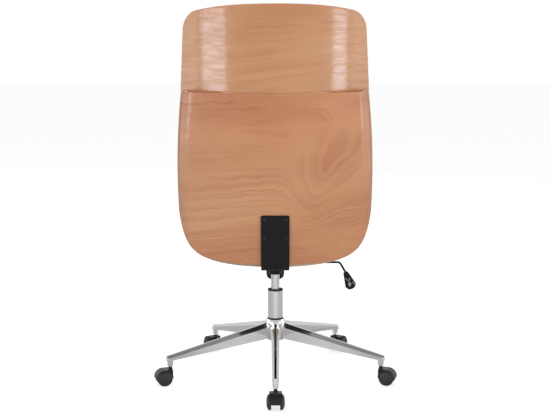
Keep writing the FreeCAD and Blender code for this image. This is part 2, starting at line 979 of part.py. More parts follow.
tray_top = tray_low + size.tray_height
tray_floor_top = tray_low + size.tray_wall
tray_half_width = size.tray_width / 2
pivot_height = tray_low + size.pivot_lift
lever_height = pin_top + size.lever_radius + size.face_clearance
ear_inner = tray_half_width + size.ear_gap
ear_outer = ear_inner + size.plate_thickness
plate_half = size.plate_side / 2
bolt_half = size.plate_bolt_spacing / 2
bolt_hole_radius = size.bolt_radius + size.bolt_hole_clearance


def mechanism_tray():
    """The pressed tray with the cone that the column's inner tube is pushed into."""
    tray = body("mechanism_tray")
    rear_top = tray_low + size.tray_rear_height
    outer = sketch(tray, "tray_side", "YZ_Plane")
    polygon(
        outer,
        (
            (-size.tray_front, tray_low),
            (size.tray_rear, tray_low),
            (size.tray_rear, rear_top),
            (-size.pivot_setback, tray_top),
            (-size.tray_front, tray_top),
        ),
    )
    feature(tray, "Pad", "tray_solid", outer, Length=size.tray_width, Midplane=True)
    wall = size.tray_wall
    inner = sketch(tray, "tray_inside", "YZ_Plane")
    inner_front, inner_rear = -size.tray_front + wall, size.tray_rear - wall
    box_outline(inner, inner_front, tray_floor_top, inner_rear, tray_top + size.overrun)
    feature(tray, "Pocket", "tray_hollow", inner, Length=size.tray_width - wall * 2, Midplane=True)
    cone_top = tray_top - size.tray_height + size.cone_stand - size.face_clearance
    socket = tray.newObject("PartDesign::AdditiveCone", "cone")
    bind(socket, Radius1=size.cone_foot_radius, Radius2=size.cone_radius, Height=cone_top - cone_foot)
    attach(tray, socket, (0, 0, cone_foot))
    bore = tray.newObject("PartDesign::SubtractiveCone", "cone_bore")
    gap = size.seat_clearance
    bind(
        bore,
        Radius1=size.piston_tube_radius + gap,
        Radius2=size.piston_tube_top_radius + gap,
        Height=tube_top - cone_foot,
    )
    attach(tray, bore, (0, 0, cone_foot))
    drilled(
        tray,
        "tension_hole",
        size.tension_hole_radius,
        size.tray_wall + size.overrun * 2,
        (0, -size.tension_reach, tray_low - size.overrun),
    )
    across = size.tray_width + size.overrun * 2
    left = -tray_half_width - size.overrun
    pivot_start = (left, -size.pivot_setback, pivot_height)
    drilled(tray, "pivot_hole", size.pivot_radius + size.running_clearance, across, pivot_start, "X")
    stop_height = plate_low - size.face_clearance - tray_floor_top
    for side, left_face in (("left", tray_half_width - wall), ("right", -tray_half_width)):
        stop = tray.newObject("PartDesign::AdditiveBox", f"stop_{side}")
        bind(stop, Length=wall, Width=size.stop_width, Height=stop_height)
        attach(tray, stop, (left_face, -size.stop_setback, tray_floor_top))
    lever_hole = drilled(
        tray,
        "lever_hole",
        size.lever_bush_radius + size.lever_bush_play,
        size.tray_wall + size.overrun * 2,
        (left, 0, lever_height),
        "X",
    )
    tray.Tip = lever_hole


def tilt_shaft():
    """The shaft that the seat plate rocks on, with a head pressed on each end."""
    shaft = body("tilt_shaft")
    half = ear_outer + size.face_clearance
    end = half + size.pivot_head_length
    points = (
        (0, -end),
        (size.pivot_head_radius, -end),
        (size.pivot_head_radius, -half),
        (size.pivot_radius, -half),
        (size.pivot_radius, half),
        (size.pivot_head_radius, half),
        (size.pivot_head_radius, end),
        (0, end),
    )
    lathe(shaft, "shaft", points)
    shaft.Placement = Placement(Vector(0, -size.pivot_setback, pivot_height), AXIS_TURNS["X"])


def seat_plate():
    """The pressed plate under the seat, with two ears that hang on the tilt shaft."""
    plate = body("seat_plate")
    outline = sketch(plate, "plate_outline", "XY_Plane", plate_low)
    box_outline(outline, -plate_half, -plate_half, plate_half, plate_half)
    feature(plate, "Pad", "plate", outline, Length=size.plate_thickness)
    dressed(plate, "Fillet", "plate_corners", is_upright, Radius=size.plate_corner)
    ear_low = pivot_height - size.ear_drop
    for side, start in (("left", ear_inner), ("right", -ear_outer)):
        ear = plate.newObject("PartDesign::AdditiveBox", f"ear_{side}")
        bind(ear, Length=size.plate_thickness, Width=size.ear_length, Height=plate_low - ear_low)
        attach(plate, ear, (start, -size.pivot_setback - size.ear_length / 2, ear_low))
    across = ear_outer * 2 + size.overrun * 2
    hole = size.pivot_radius + size.running_clearance
    drilled(
        plate, "ear_holes", hole, across, (-ear_outer - size.overrun, -size.pivot_setback, pivot_height), "X"
    )
    for number, (x, y) in enumerate(plate_bolt_places()):
        hole = drilled(
            plate,
            f"bolt_hole_{number}",
            bolt_hole_radius,
            size.plate_thickness + size.overrun * 2,
            (x, y, plate_low - size.overrun),
        )
    plate.Tip = hole


def is_upright(middle, edge):
    """True for a straight edge along Z."""
    low, high = edge.Vertexes[0].Point, edge.Vertexes[-1].Point
    return edge.Curve.TypeId == "Part::GeomLine" and abs(high.z - low.z) > 0.9 * edge.Length


def plate_bolt_places():
    return [(x, y) for x in (-bolt_half, bolt_half) for y in (-bolt_half, bolt_half)]


def bracket_bolt_places():
    forward = size.bracket_reach + size.bracket_bolt_margin
    return [(-size.bracket_bolt_across, forward), (size.bracket_bolt_across, forward)]


def tension_bolt():
    """The bolt that hangs from the seat plate and carries the tension knob."""
    bolt = body("tension_bolt")
    head_low = plate_low - size.tension_bolt_head_height
    knob_low = cone_foot - size.knob_drop
    points = (
        (0, knob_low + size.running_clearance),
        (size.tension_bolt_radius, knob_low + size.running_clearance),
        (size.tension_bolt_radius, head_low),
        (size.tension_bolt_head, head_low),
        (size.tension_bolt_head, plate_low),
        (0, plate_low),
    )
    lathe(bolt, "bolt", points)
    bolt.Placement = Placement(Vector(0, -size.tension_reach, 0), Rotation())


def tension_knob():
    """The round cup that is turned by hand to set how hard the seat is to tilt."""
    knob = body("tension_knob")
    low = cone_foot - size.knob_drop
    top = low + size.knob_height
    floor = low + size.knob_floor
    inner = size.knob_radius - size.knob_wall
    hole = size.tension_bolt_radius + size.running_clearance
    points = (
        (hole, low),
        (size.knob_radius - size.knob_chamfer, low),
        (size.knob_radius - size.knob_chamfer / 4, low + size.knob_chamfer / 2),
        (size.knob_radius, low + size.knob_chamfer * 1.5),
        (size.knob_radius, top),
        (inner, top),
        (inner, floor),
        (hole, floor),
    )
    lathe(knob, "cup", points)
    flute = drilled(
        knob,
        "flute",
        size.knob_flute_radius,
        size.knob_height + size.overrun * 2,
        (size.knob_radius + size.knob_flute_radius * 0.7, 0, low - size.overrun),
    )
    pattern = knob.newObject("PartDesign::PolarPattern", "flutes")
    pattern.Originals = [flute]
    pattern.Axis = (origin_feature(knob, "Z_Axis"), [""])
    pattern.Angle = 360
    pattern.Occurrences = KNOB_FLUTES
    knob.Tip = pattern
    knob.Placement = Placement(Vector(0, -size.tension_reach, 0), Rotation())


def coil(radius, wire, low, high, turns):
    """One unbroken round wire wound upward in quarter turns."""
    quarters = turns * 4
    pitch = (high - low - 2 * wire) / turns

    def point(step):
        turn = math.pi / 2 * step
        return Vector(radius * math.cos(turn), radius * math.sin(turn), low + wire + pitch * step / 4)

    arcs = [Part.Arc(point(k), point(k + 0.5), point(k + 1)).toShape() for k in range(quarters)]
    path = Part.Wire(arcs)
    start = arcs[0]
    tangent = start.tangentAt(start.FirstParameter)
    section = Part.Wire([Part.Circle(point(0), tangent, float(wire)).toShape()])
    gap = pitch - 2 * wire
    print(f"spring gap between turns {gap:.2f}, wire length {path.Length:.1f}")
    return path.makePipeShell([section], True, False)


def tension_spring():
    """The spring between the knob's floor and the tray."""
    low = cone_foot - size.knob_drop + size.knob_floor + size.face_clearance
    high = tray_low - size.face_clearance
    spring = shaped("tension_spring", coil(size.spring_radius, size.spring_wire, low, high, SPRING_TURNS))
    spring.Placement = Placement(Vector(0, -size.tension_reach, 0), Rotation())


# Lever


def lever_points():
    """The bar's line: over the release pin, out to the sitter's right, then down and into the paddle."""
    corner = Vector(-size.lever_reach, 0, lever_height)
    foot = corner + Vector(-size.lever_drop_across, 0, -size.lever_drop_down)
    lean = math.radians(size.paddle_lean)
    down = Vector(-math.sin(lean), 0, -math.cos(lean))
    bend = foot - down * size.paddle_bend_above
    inner_end = Vector(size.lever_inner_end, 0, lever_height)
    return [inner_end, corner, bend, foot + down * size.paddle_bore_depth], foot


def bent_bar(points, radius, bend_radius):
    """A round bar along straight runs with a tangent arc at each inner point."""
    edges = []
    start = points[0]
    for before, corner, after in zip(points, points[1:], points[2:]):
        back, forth = (before - corner).normalize(), (after - corner).normalize()
        half = back.getAngle(forth) / 2
        trim = bend_radius / math.tan(half)
        middle = (back + forth).normalize()
        top = corner + middle * (bend_radius / math.sin(half) - bend_radius)
        enter, leave = corner + back * trim, corner + forth * trim
        edges.append(Part.LineSegment(start, enter).toShape())
        edges.append(Part.Arc(enter, top, leave).toShape())
        start = leave
    edges.append(Part.LineSegment(start, points[-1]).toShape())
    path = Part.Wire(edges)
    section = Part.Wire([Part.Circle(points[0], points[1] - points[0], float(radius)).toShape()])
    return path.makePipeShell([section], True, False)


def lever_rod():
    points, foot = lever_points()
    shaped("lever_rod", bent_bar(points, size.lever_radius, size.lever_bend_radius))


def lever_bush():
    """The round bush that rocks in the tray's wall and lets the bar slide through it."""
    bush = body("lever_bush")
    inner = size.lever_radius + size.running_clearance
    points = (
        (inner, 0),
        (size.lever_bush_radius - size.lever_bush_play, 0),
        (size.lever_bush_radius, size.lever_bush_length / 2),
        (size.lever_bush_radius - size.lever_bush_play, size.lever_bush_length),
        (inner, size.lever_bush_length),
    )
    lathe(bush, "bush", points)
    middle = -tray_half_width + size.tray_wall / 2
    bush.Placement = Placement(Vector(middle - size.lever_bush_length / 2, 0, lever_height), AXIS_TURNS["X"])


def lever_paddle():
    """The flat hand grip on the bar's lower end, narrow above and wide below."""
    points, foot = lever_points()
    paddle = body("lever_paddle")
    outline = sketch(paddle, "paddle_outline", "XZ_Plane")
    top, wide = size.paddle_top_width / 2, size.paddle_width / 2
    length = size.paddle_length
    slope = size.paddle_corner
    polygon(
        outline,
        (
            (-top, 0),
            (top, 0),
            (wide, -length + slope * PADDLE_HIP_SHARE),
            (wide - slope, -length + slope / 4),
            (0, -length),
            (slope - wide, -length + slope / 4),
            (-wide, -length + slope * PADDLE_HIP_SHARE),
        ),
    )
    feature(paddle, "Pad", "paddle", outline, Length=size.paddle_thickness, Midplane=True)
    dressed(paddle, "Fillet", "paddle_corners", is_crosswise, Radius=size.paddle_round)
    bore = drilled(
        paddle,
        "paddle_bore",
        size.lever_radius + size.seat_clearance,
        size.paddle_bore_depth + size.face_clearance + size.overrun,
        (0, 0, -size.paddle_bore_depth - size.face_clearance),
    )
    paddle.Tip = bore
    paddle.Placement = Placement(foot, Rotation(Vector(0, 1, 0), float(size.paddle_lean)))


def is_crosswise(middle, edge):
    """True for a straight edge along Y."""
    low, high = edge.Vertexes[0].Point, edge.Vertexes[-1].Point
    return edge.Curve.TypeId == "Part::GeomLine" and abs(high.y - low.y) > 0.9 * edge.Length


def mechanism():
    mechanism_tray()
    tilt_shaft()
    seat_plate()
    tension_bolt()
    tension_knob()
    tension_spring()
    lever_rod()
    lever_bush()
    lever_paddle()


# Seat


def seat_board():
    """The plywood board under the seat, round at the rear, with holes for the tee nuts."""
    board = body("seat_board")
    rear_centre = size.shell_rear - size.ply_thickness - size.face_clearance * 8 - size.board_rear_radius
    outline = sketch(board, "board_outline", "XY_Plane", board_low)
    half = size.board_rear_radius
    box_outline(outline, -half, -size.board_front, half, rear_centre)
    feature(board, "Pad", "board_front", outline, Length=size.board_thickness)
    dressed(board, "Fillet", "front_corners", is_front_corner, Radius=size.board_corner)
    rear = board.newObject("PartDesign::AdditiveCylinder", "board_rear")
    bind(rear, Radius=half, Height=size.board_thickness)
    attach(board, rear, (0, rear_centre, board_low))
    for number, (x, y) in enumerate(plate_bolt_places() + bracket_bolt_places()):
        hole = drilled(
            board,
            f"nut_hole_{number}",
            size.nut_radius + size.running_clearance,
            size.board_thickness + size.overrun * 2,
            (x, y, board_low - size.overrun),
        )
    board.Tip = hole


def is_front_corner(middle, edge):
    return is_upright(middle, edge) and middle.y < -size.board_front / 2


def seat_fasteners():
    """Bolts up through the plate and the bracket, and the tee nuts in the board that take them."""
    bolts, nuts = [], []
    plate_under = plate_low - size.seat_clearance
    bracket_under = board_low - size.face_clearance - size.bracket_thickness - size.seat_clearance
    places = [(place_xy, plate_under) for place_xy in plate_bolt_places()]
    places += [(place_xy, bracket_under) for place_xy in bracket_bolt_places()]
    shank_top = board_high - size.face_clearance
    for number, ((x, y), under) in enumerate(places):
        head_low = (x, y, under - size.bolt_head_height)
        head = cylinder(f"seat_bolt_head_{number}", size.bolt_head_radius, size.bolt_head_height, head_low)
        shank = cylinder(f"seat_bolt_shank_{number}", size.bolt_radius, shank_top - under, (x, y, under))
        bolts.append(fused(f"seat_bolt_{number}", [head, shank]))
        sleeve = cylinder(f"nut_sleeve_{number}", size.nut_radius, size.board_thickness, (x, y, board_low))
        flange_low = (x, y, board_high + size.seat_clearance)
        flange = cylinder(f"nut_flange_{number}", size.nut_flange_radius, size.nut_flange_height, flange_low)
        join_low = (x, y, board_high - size.nut_flange_height / 2)
        joined = cylinder(f"nut_join_{number}", size.nut_radius, size.nut_flange_height, join_low)
        whole = fused(f"nut_whole_{number}", [sleeve, joined, flange])
        thread = cylinder(
            f"nut_thread_{number}",
            size.bolt_radius + size.running_clearance,
            size.board_thickness + size.nut_flange_height + size.overrun * 2,
            (x, y, board_low - size.overrun),
        )
        nuts.append(without(f"nut_{number}", whole, thread))
    for name, parts in (("seat_bolts", bolts), ("seat_tee_nuts", nuts)):
        group = doc.addObject("Part::Compound", name)
        group.Links = parts
        keep(group, name)


def cushion_ring(height, inset):
    """A closed outline of the seat cushion, drawn in by an inset, of lines and quarter arcs."""
    half = size.cushion_half_width - inset
    rear, front = size.cushion_rear - inset, -size.cushion_front + inset
    rear_round, front_round = size.cushion_rear_corner - inset, size.cushion_front_corner - inset * 0.2
    corners = (
        (half, rear, rear_round, 0),
        (-half, rear, rear_round, 90),
        (-half, front, front_round, 180),
        (half, front, front_round, 270),
    )
    arcs = []
    for x, y, radius, start in corners:
        centre = Vector(x - math.copysign(radius, x), y - math.copysign(radius, y), height)
        ends = [
            centre + Vector(radius * math.cos(math.radians(a)), radius * math.sin(math.radians(a)), 0)
            for a in (start, start + 45, start + 90)
        ]
        arcs.append(ends)
    edges = []
    for ends, following in zip(arcs, arcs[1:] + arcs[:1]):
        edges.append(Part.Arc(*ends).toShape())
        edges.append(Part.LineSegment(ends[2], following[0]).toShape())
    return Part.Wire(edges)


def seat_cushion():
    """The seat cushion, with drawn-in sides and a crown."""
    foot = board_high + size.nut_flange_height + size.face_clearance
    rings = [
        cushion_ring(foot + size.cushion_height * up, size.cushion_foot_inset * inward)
        for up, inward in CUSHION_RING_SHARES
    ]
    shaped("seat_cushion", Part.makeLoft(rings, True, False))


# Bent wood panels
# A panel's outer face is followed by an arc length from the middle and a height.
# Depth is measured inward from it.


def tan(degrees):
    return math.tan(math.radians(degrees))


class LowerBack:
    """The lower back: nearly flat across the middle, bent sharply at the flanks, then straight wings."""

    def __init__(self):
        self.plan = size.shell_plan_radius
        self.start_angle = math.asin(size.shell_flank_start / self.plan)
        self.start = self.plan * self.start_angle
        flank_span = 1 - math.sin(self.start_angle)
        self.flank = (size.shell_half_width - size.shell_flank_start) / flank_span
        self.limb = self.start + self.flank * (math.pi / 2 - self.start_angle)
        self.end = self.limb + size.wing_length

    def plan_point(self, length, depth):
        """Distance across and distance forward of the rearmost line, for an arc length from the middle."""
        side, run = math.copysign(1, length), abs(length)
        if run <= self.start:
            turn = run / self.plan
            across = (self.plan - depth) * math.sin(turn)
            forward = self.plan - (self.plan - depth) * math.cos(turn)
        else:
            turn = min(self.start_angle + (run - self.start) / self.flank, math.pi / 2)
            centre_across = (self.plan - self.flank) * math.sin(self.start_angle)
            centre_forward = self.plan - (self.plan - self.flank) * math.cos(self.start_angle)
            across = centre_across + (self.flank - depth) * math.sin(turn)
            forward = centre_forward - (self.flank - depth) * math.cos(turn) + max(run - self.limb, 0)
        return side * across, forward

    def point(self, length, height, depth=0):
        across, forward = self.plan_point(length, depth)
        waist = shell_low + size.shell_waist_height
        narrowing = size.shell_taper * ((height - waist) / size.shell_taper_height) ** 2
        across *= (size.shell_half_width - narrowing) / size.shell_half_width
        rear = size.shell_rear + (height - shell_low) * tan(size.shell_lean)
        return Vector(across, rear - forward, height)

    def low_edge(self, length):
        """The bottom edge: a gentle belly, then round corners that rise and level out under the wings."""
        share = abs(length) / size.corner_reach
        rise = size.belly_rise * share**BELLY_EXPONENT + size.corner_height * share**CORNER_EXPONENT
        ceiling = size.wing_under
        level = rise / (1 + (rise / ceiling) ** CORNER_KNEE) ** (1 / CORNER_KNEE)
        return shell_low + level + self.end_round(length)

    def high_edge(self, length):
        """The top edge: level across the back, then swept down to the top of the wings."""
        share = (abs(length) - self.limb - size.wing_sweep_start) / size.wing_sweep_length
        share = min(max(share, 0), 1)
        swept = share * share * (3 - 2 * share)
        return shell_high - (size.shell_height - size.wing_top) * swept - self.end_round(length)

    def end_round(self, length):
        """How far the edges close in on each other at the rounded front end of a wing."""
        into = abs(length) - (self.end - size.wing_end_round)
        if into <= 0:
            return 0
        radius = size.wing_end_round
        return radius - math.sqrt(max(radius * radius - into * into, 0))

    def lengths(self):
        """Arc lengths from one wing's end to the other's, closest together where the shape turns."""
        half = [self.start * k / 9 for k in range(9)]
        half += [self.start + (self.limb - self.start) * k / 8 for k in range(8)]
        sweep = size.wing_sweep_start + size.wing_sweep_length
        straight = self.end - size.wing_end_round
        half += [self.limb + sweep * k / 14 for k in range(14)]
        half += [self.limb + sweep + (straight - self.limb - sweep) * k / 7 for k in range(7)]
        turns = [math.radians(CORNER_LIMIT) * k / 5 for k in range(6)]
        half += [straight + size.wing_end_round * math.sin(turn) for turn in turns]
        return [-length for length in reversed(half[1:])] + half


class HeadPanel:
    """The head panel: one even curve in plan, with an arched top edge and round upper corners."""

    def __init__(self):
        self.plan = size.head_plan_radius
        self.foot_rear = size.shell_rear + size.shell_height * tan(size.shell_lean) + size.head_set_back

    def half_length(self, height):
        share = (height - head_low) / size.head_height
        return size.head_foot_half_length + (size.head_top_half_length - size.head_foot_half_length) * share

    def point(self, share, height, depth=0):
        """A point at a share, from -1 to 1, of the panel's half length at that height."""
        turn = share * self.half_length(height) / self.plan
        across = (self.plan - depth) * math.sin(turn)
        forward = self.plan - (self.plan - depth) * math.cos(turn)
        rear = self.foot_rear + (height - head_low) * tan(size.head_lean)
        return Vector(across, rear - forward, height)

    def high_edge(self, share, margin=0):
        """The top edge: a low arch that turns down in a round corner at each end."""
        arch = size.head_arch * abs(share) ** ARCH_EXPONENT
        radius = size.head_corner
        into = (abs(share) - 1) * size.head_top_half_length + radius
        corner = radius - math.sqrt(max(radius * radius - into * into, 0)) if into > 0 else 0
        return head_high - margin - arch - corner

    def shares(self):
        straight = 1 - size.head_corner / size.head_top_half_length
        half = [straight * k / 14 for k in range(14)]
        turns = [math.radians(CORNER_LIMIT) * k / 6 for k in range(7)]
        half += [straight + (1 - straight) * math.sin(turn) / math.sin(turns[-1]) for turn in turns]
        return [-share for share in reversed(half[1:])] + half


lower_back = LowerBack()
head_panel_form = HeadPanel()


def between(outer, inner):
    """A closed solid between two grids of points of one layout: two smooth skins and four ruled rims."""
    skins = []
    for grid in (outer, inner):
        surface = Part.BSplineSurface()
        surface.interpolate(grid)
        skins.append(surface)
    rims = []
    for line in ("uIso", "vIso"):
        for end in (0, 1):
            edges = []
            for surface in skins:
                low_u, high_u, low_v, high_v = surface.bounds()
                ends = (low_u, high_u) if line == "uIso" else (low_v, high_v)
                edges.append(getattr(surface, line)(ends[end]).toShape())
            rims.append(Part.makeRuledSurface(*edges))
    shell = Part.makeShell([surface.toShape() for surface in skins] + rims)
    shell.sewShape()
    solid = Part.makeSolid(shell)
    if solid.Volume < 0:
        solid.reverse()
    return solid


def grid(columns, low_edge, high_edge, point, steps=SKIN_STEPS):
    """Rows of points from a panel's low edge to its high edge, for each column."""
    rows = []
    for column in columns:
        low, high = low_edge(column), high_edge(column)
        rows.append([point(column, low + (high - low) * k / steps) for k in range(steps + 1)])
    return rows


def back_shell():
    """The bent wood lower back, whose flanks run forward as wings that carry the arm pads."""
    form = lower_back
    skins = [
        grid(form.lengths(), form.low_edge, form.high_edge, lambda s, z, d=depth: form.point(s, z, d))
        for depth in (0, size.ply_thickness)
    ]
    shaped("back_shell", between(*skins))


def head_panel():
    """The bent wood panel behind the head."""
    form = head_panel_form
    skins = [
        grid(form.shares(), lambda share: head_low, form.high_edge, lambda s, z, d=depth: form.point(s, z, d))
        for depth in (0, size.ply_thickness)
    ]
    shaped("head_panel", between(*skins))


# Pads on the panels

pad_board_depth = size.ply_thickness + size.face_clearance
pad_depth = pad_board_depth + size.pad_board_thickness + size.face_clearance


def fullness(share):
    """How full a pad is at a share, from 0 in the middle to 1 at the rim."""
    return math.sqrt(max(1 - abs(share) ** PAD_EXPONENT, 0))


def even_shares(steps):
    """Shares from -1 to 1, closer together towards both ends."""
    return [math.sin(math.pi / 2 * (2 * k / steps - 1)) for k in range(steps + 1)]


def pad_grids(point, low_edge, high_edge, rear_depth, thickness, edge, steps=PAD_STEPS):
    """The rear and front skins of a pad: the front swells from a thin rim to its full thickness."""
    rear, front = [], []
    for across in even_shares(steps):
        low, high = low_edge(across), high_edge(across)
        rear_row, front_row = [], []
        for up in even_shares(steps):
            height = (low + high) / 2 + (high - low) / 2 * up
            depth = edge + (thickness - edge) * fullness(across) * fullness(up)
            rear_row.append(point(across, height, rear_depth))
            front_row.append(point(across, height, rear_depth + depth))
        rear.append(rear_row)
        front.append(front_row)
    return rear, front


back_pad_low = shell_low + size.back_pad_foot
back_pad_high = shell_high - size.back_pad_head_margin


def back_pad_point(share, height, depth):
    return lower_back.point(share * size.back_pad_half_length, height, depth)


def back_pad_low_edge(share):
    """The pad's lower edge clears the round corners of the lower back."""
    corner = lower_back.low_edge(share * size.back_pad_half_length) - shell_low
    return back_pad_low + corner * abs(share)


def back_pad():
    """The pad on the lower back."""
    shaped(
        "back_cushion",
        between(
            *pad_grids(
                back_pad_point,
                back_pad_low_edge,
                lambda share: back_pad_high,
                pad_depth,
                size.back_pad_thickness,
                size.back_pad_edge,
                BACK_PAD_STEPS,
            )
        ),
    )


def head_pad_high_edge(share):
    return head_panel_form.high_edge(share * 0.97, size.head_pad_margin)


def head_pad_point(share, height, depth):
    margin = size.head_pad_margin / size.head_top_half_length
    return head_panel_form.point(share * (1 - margin), height, depth)


def head_pad():
    """The pad on the head panel."""
    shaped(
        "head_cushion",
        between(
            *pad_grids(
                head_pad_point,
                lambda share: head_low + size.head_pad_margin / 2,
                head_pad_high_edge,
                pad_depth,
                size.head_pad_thickness,
                size.head_pad_edge,
            )
        ),
    )


def pad_board(name, point, low_edge, high_edge, shrink):
    """The thin curved board that a pad is stapled to, cut out round the strap."""
    inset = size.pad_board_inset
    columns = [shrink * (2 * k / 10 - 1) for k in range(11)]
    skins = [
        grid(
            columns,
            lambda share: low_edge(share) + inset,
            lambda share: high_edge(share) - inset,
            lambda s, z, d=depth: point(s, z, d),
            6,
        )
        for depth in (pad_board_depth, pad_board_depth + size.pad_board_thickness)
    ]
    half = size.strap_width / 2 + size.overrun
    reach = size.strap_half_length + size.overrun
    depth = size.shell_height
    slot = Part.makeBox(half * 2, depth, reach * 2, Vector(-half, 0, shell_high - reach))
    shaped(name, between(*skins).cut(slot))


def arm_pads():
    """The two pads inside the wings."""
    start = lower_back.limb + size.wing_sweep_start + size.wing_sweep_length / 2
    end = lower_back.end - size.arm_pad_margin * 2
    middle, half = (start + end) / 2, (end - start) / 2
    low = shell_low + size.wing_under + size.arm_pad_margin
    high = shell_low + size.wing_top - size.arm_pad_margin
    depth = size.ply_thickness + size.face_clearance
    for name, side in (("arm_pad_left", 1), ("arm_pad_right", -1)):
        skins = pad_grids(
            lambda share, height, d: lower_back.point(side * (middle + share * half), height, d),
            lambda share: low,
            lambda share: high,
            depth,
            size.arm_pad_thickness,
            size.arm_pad_edge,
        )
        shaped(name, between(*skins))


# Strap and bracket


def strap_face(height_above_seam):
    """Where the strap's rear face lies, at a height from the seam."""
    half = size.strap_width / 2
    if height_above_seam < 0:
        rear = size.shell_rear + (size.shell_height + height_above_seam) * tan(size.shell_lean)
        plan = size.shell_plan_radius
    else:
        rear = head_panel_form.foot_rear + height_above_seam * tan(size.head_lean)
        plan = size.head_plan_radius
    hollow = plan - math.sqrt(plan * plan - half * half)
    return rear - size.ply_thickness - hollow - size.face_clearance


def back_strap():
    """The steel strap inside the back that joins the head panel to the lower back."""
    half, reach = size.strap_width / 2, size.strap_half_length
    levels = (-reach, 0, reach)
    rear = [Vector(0, strap_face(level), shell_high + level) for level in levels]
    front = [point - Vector(0, size.strap_thickness, 0) for point in rear]
    side = Part.Face(Part.makePolygon(rear + front[::-1] + rear[:1]))
    side.translate(Vector(-half, 0, 0))
    strap = side.extrude(Vector(half * 2, 0, 0))
    for seat, inward in strap_screw_seats():
        strap = strap.cut(screw_hole(seat, inward, size.strap_thickness))
    shaped("back_strap", strap)


def strap_screw_seats():
    """Where the strap's screws sit on its front face, and the direction into the wood there."""
    seats = []
    for side in (-1, 1):
        end = size.strap_half_length * side
        slope = (strap_face(end) - strap_face(0)) / end
        inward = Vector(0, 1, -slope).normalize()
        for level in (size.strap_screw_near * side, size.strap_screw_far * side):
            front = strap_face(0) + slope * level - size.strap_thickness
            for x in (-size.strap_screw_across, size.strap_screw_across):
                seats.append((Vector(x, front, shell_high + level), inward))
    return seats


def screw_hole(seat, inward, thickness):
    """The hole for a wood screw through a metal piece of that thickness."""
    radius = size.screw_radius + size.running_clearance
    return Part.makeCylinder(radius, thickness + size.overrun * 2, seat - inward * size.overrun, inward)


def screw(head_face, direction, bite):
    """A pan-head wood screw whose head sits on a face and whose shank runs along a direction."""
    head = Part.makeCylinder(size.screw_head_radius, size.screw_head_height, head_face, -direction)
    rounded = head.makeFillet(size.screw_head_height * 0.45, [head.Edges[0]])
    shank = Part.makeCylinder(size.screw_radius, bite, head_face, direction)
    return rounded.fuse(shank)


def strap_screws():
    bite, gap = size.strap_thickness + size.screw_bite, size.seat_clearance
    return [screw(seat - inward * gap, inward, bite) for seat, inward in strap_screw_seats()]


bracket_top = board_high + size.bracket_above_board
bracket_low = board_low - size.face_clearance - size.bracket_thickness


def bracket_face(height):
    """Where the upright's front face lies, behind the lower back, at a height."""
    return size.shell_rear + size.face_clearance + (height - shell_low) * tan(size.shell_lean)


def back_bracket():
    """The bent steel bracket that carries the back: up the rear of the wood, and forward under the board."""
    half, thick = size.bracket_width / 2, size.bracket_thickness
    front_low, front_top = bracket_face(bracket_low), bracket_face(bracket_top)
    reach = size.bracket_reach
    points = [
        Vector(0, reach, bracket_low),
        Vector(0, front_low + thick, bracket_low),
        Vector(0, front_top + thick, bracket_top),
        Vector(0, front_top, bracket_top),
        Vector(0, bracket_face(bracket_low + thick), bracket_low + thick),
        Vector(0, reach, bracket_low + thick),
    ]
    side = Part.Face(Part.makePolygon(points + points[:1]))
    side.translate(Vector(-half, 0, 0))
    bar = side.extrude(Vector(half * 2, 0, 0))
    bends = {}
    for edge in bar.Edges:
        middle = edge.CenterOfMass
        if abs(middle.x) < half / 2 and edge.Length > half and middle.y > reach + thick * 2:
            if middle.z < bracket_low + thick / 2:
                bends["outer"] = edge
            elif middle.z < bracket_low + thick * 2:
                bends["inner"] = edge
    bar = bar.makeFillet(size.bracket_bend + thick, [bends["outer"]])
    inner = [edge for edge in bar.Edges if edge.CenterOfMass.isEqual(bends["inner"].CenterOfMass, thick / 10)]
    bar = bar.makeFillet(size.bracket_bend, inner)
    corners = [
        edge
        for edge in bar.Edges
        if abs(abs(edge.CenterOfMass.x) - half) < thick / 4
        and edge.CenterOfMass.z > bracket_top - thick / 4
        and edge.Length < thick * 1.5
    ]
    bar = bar.makeFillet(size.bracket_corner, corners)
    for seat, inward in bracket_screw_seats():
        bar = bar.cut(screw_hole(seat, inward, thick))
    for x, y in bracket_bolt_places():
        low = Vector(x, y, bracket_low - size.overrun)
        bar = bar.cut(Part.makeCylinder(bolt_hole_radius, thick + size.overrun * 2, low))
    shaped("back_bracket", bar)


def bracket_screw_seats():
    """Where the bracket's four screws sit on its rear face, and the direction into the wood."""
    inward = Vector(0, -1, tan(size.shell_lean)).normalize()
    top = bracket_top - size.bracket_screw_margin
    seats = []
    for height in (top, top - size.bracket_screw_spacing):
        rear = bracket_face(height) + size.bracket_thickness
        for x in (-size.bracket_screw_across, size.bracket_screw_across):
            seats.append((Vector(x, rear, height), inward))
    return seats


def bracket_screws():
    bite, gap = size.bracket_thickness + size.screw_bite, size.seat_clearance
    return [screw(seat - inward * gap, inward, bite) for seat, inward in bracket_screw_seats()]


def wood_screws():
    shaped("wood_screws", Part.makeCompound(strap_screws() + bracket_screws()))


def upholstered_back():
    back_shell()
    head_panel()
    back_strap()
    back_bracket()
    wood_screws()
    pad_board("back_pad_board", back_pad_point, back_pad_low_edge, lambda share: back_pad_high, 0.8)
    pad_board("head_pad_board", head_pad_point, lambda share: head_low, head_pad_high_edge, 0.8)
    back_pad()
    head_pad()
    arm_pads()


def check_and_write():
    """Stops on any failed object, then writes each sub-part to a file of its own."""
    doc.recompute()
    failed = [o.Name for o in doc.Objects if "Invalid" in o.State or "Error" in o.State]
    if failed:
        raise RuntimeError(f"these objects failed: {failed}")
    for name, thing in nodes.items():
        if thing.Shape.isNull() or not thing.Shape.isValid() or not thing.Shape.Solids:
            raise RuntimeError(f"{name} has no valid solid")
    os.makedirs("parts", exist_ok=True)
    for name, thing in nodes.items():
        thing.Shape.exportStep(f"parts/{name}.step")
    print(f"{len(nodes)} sub-parts written")


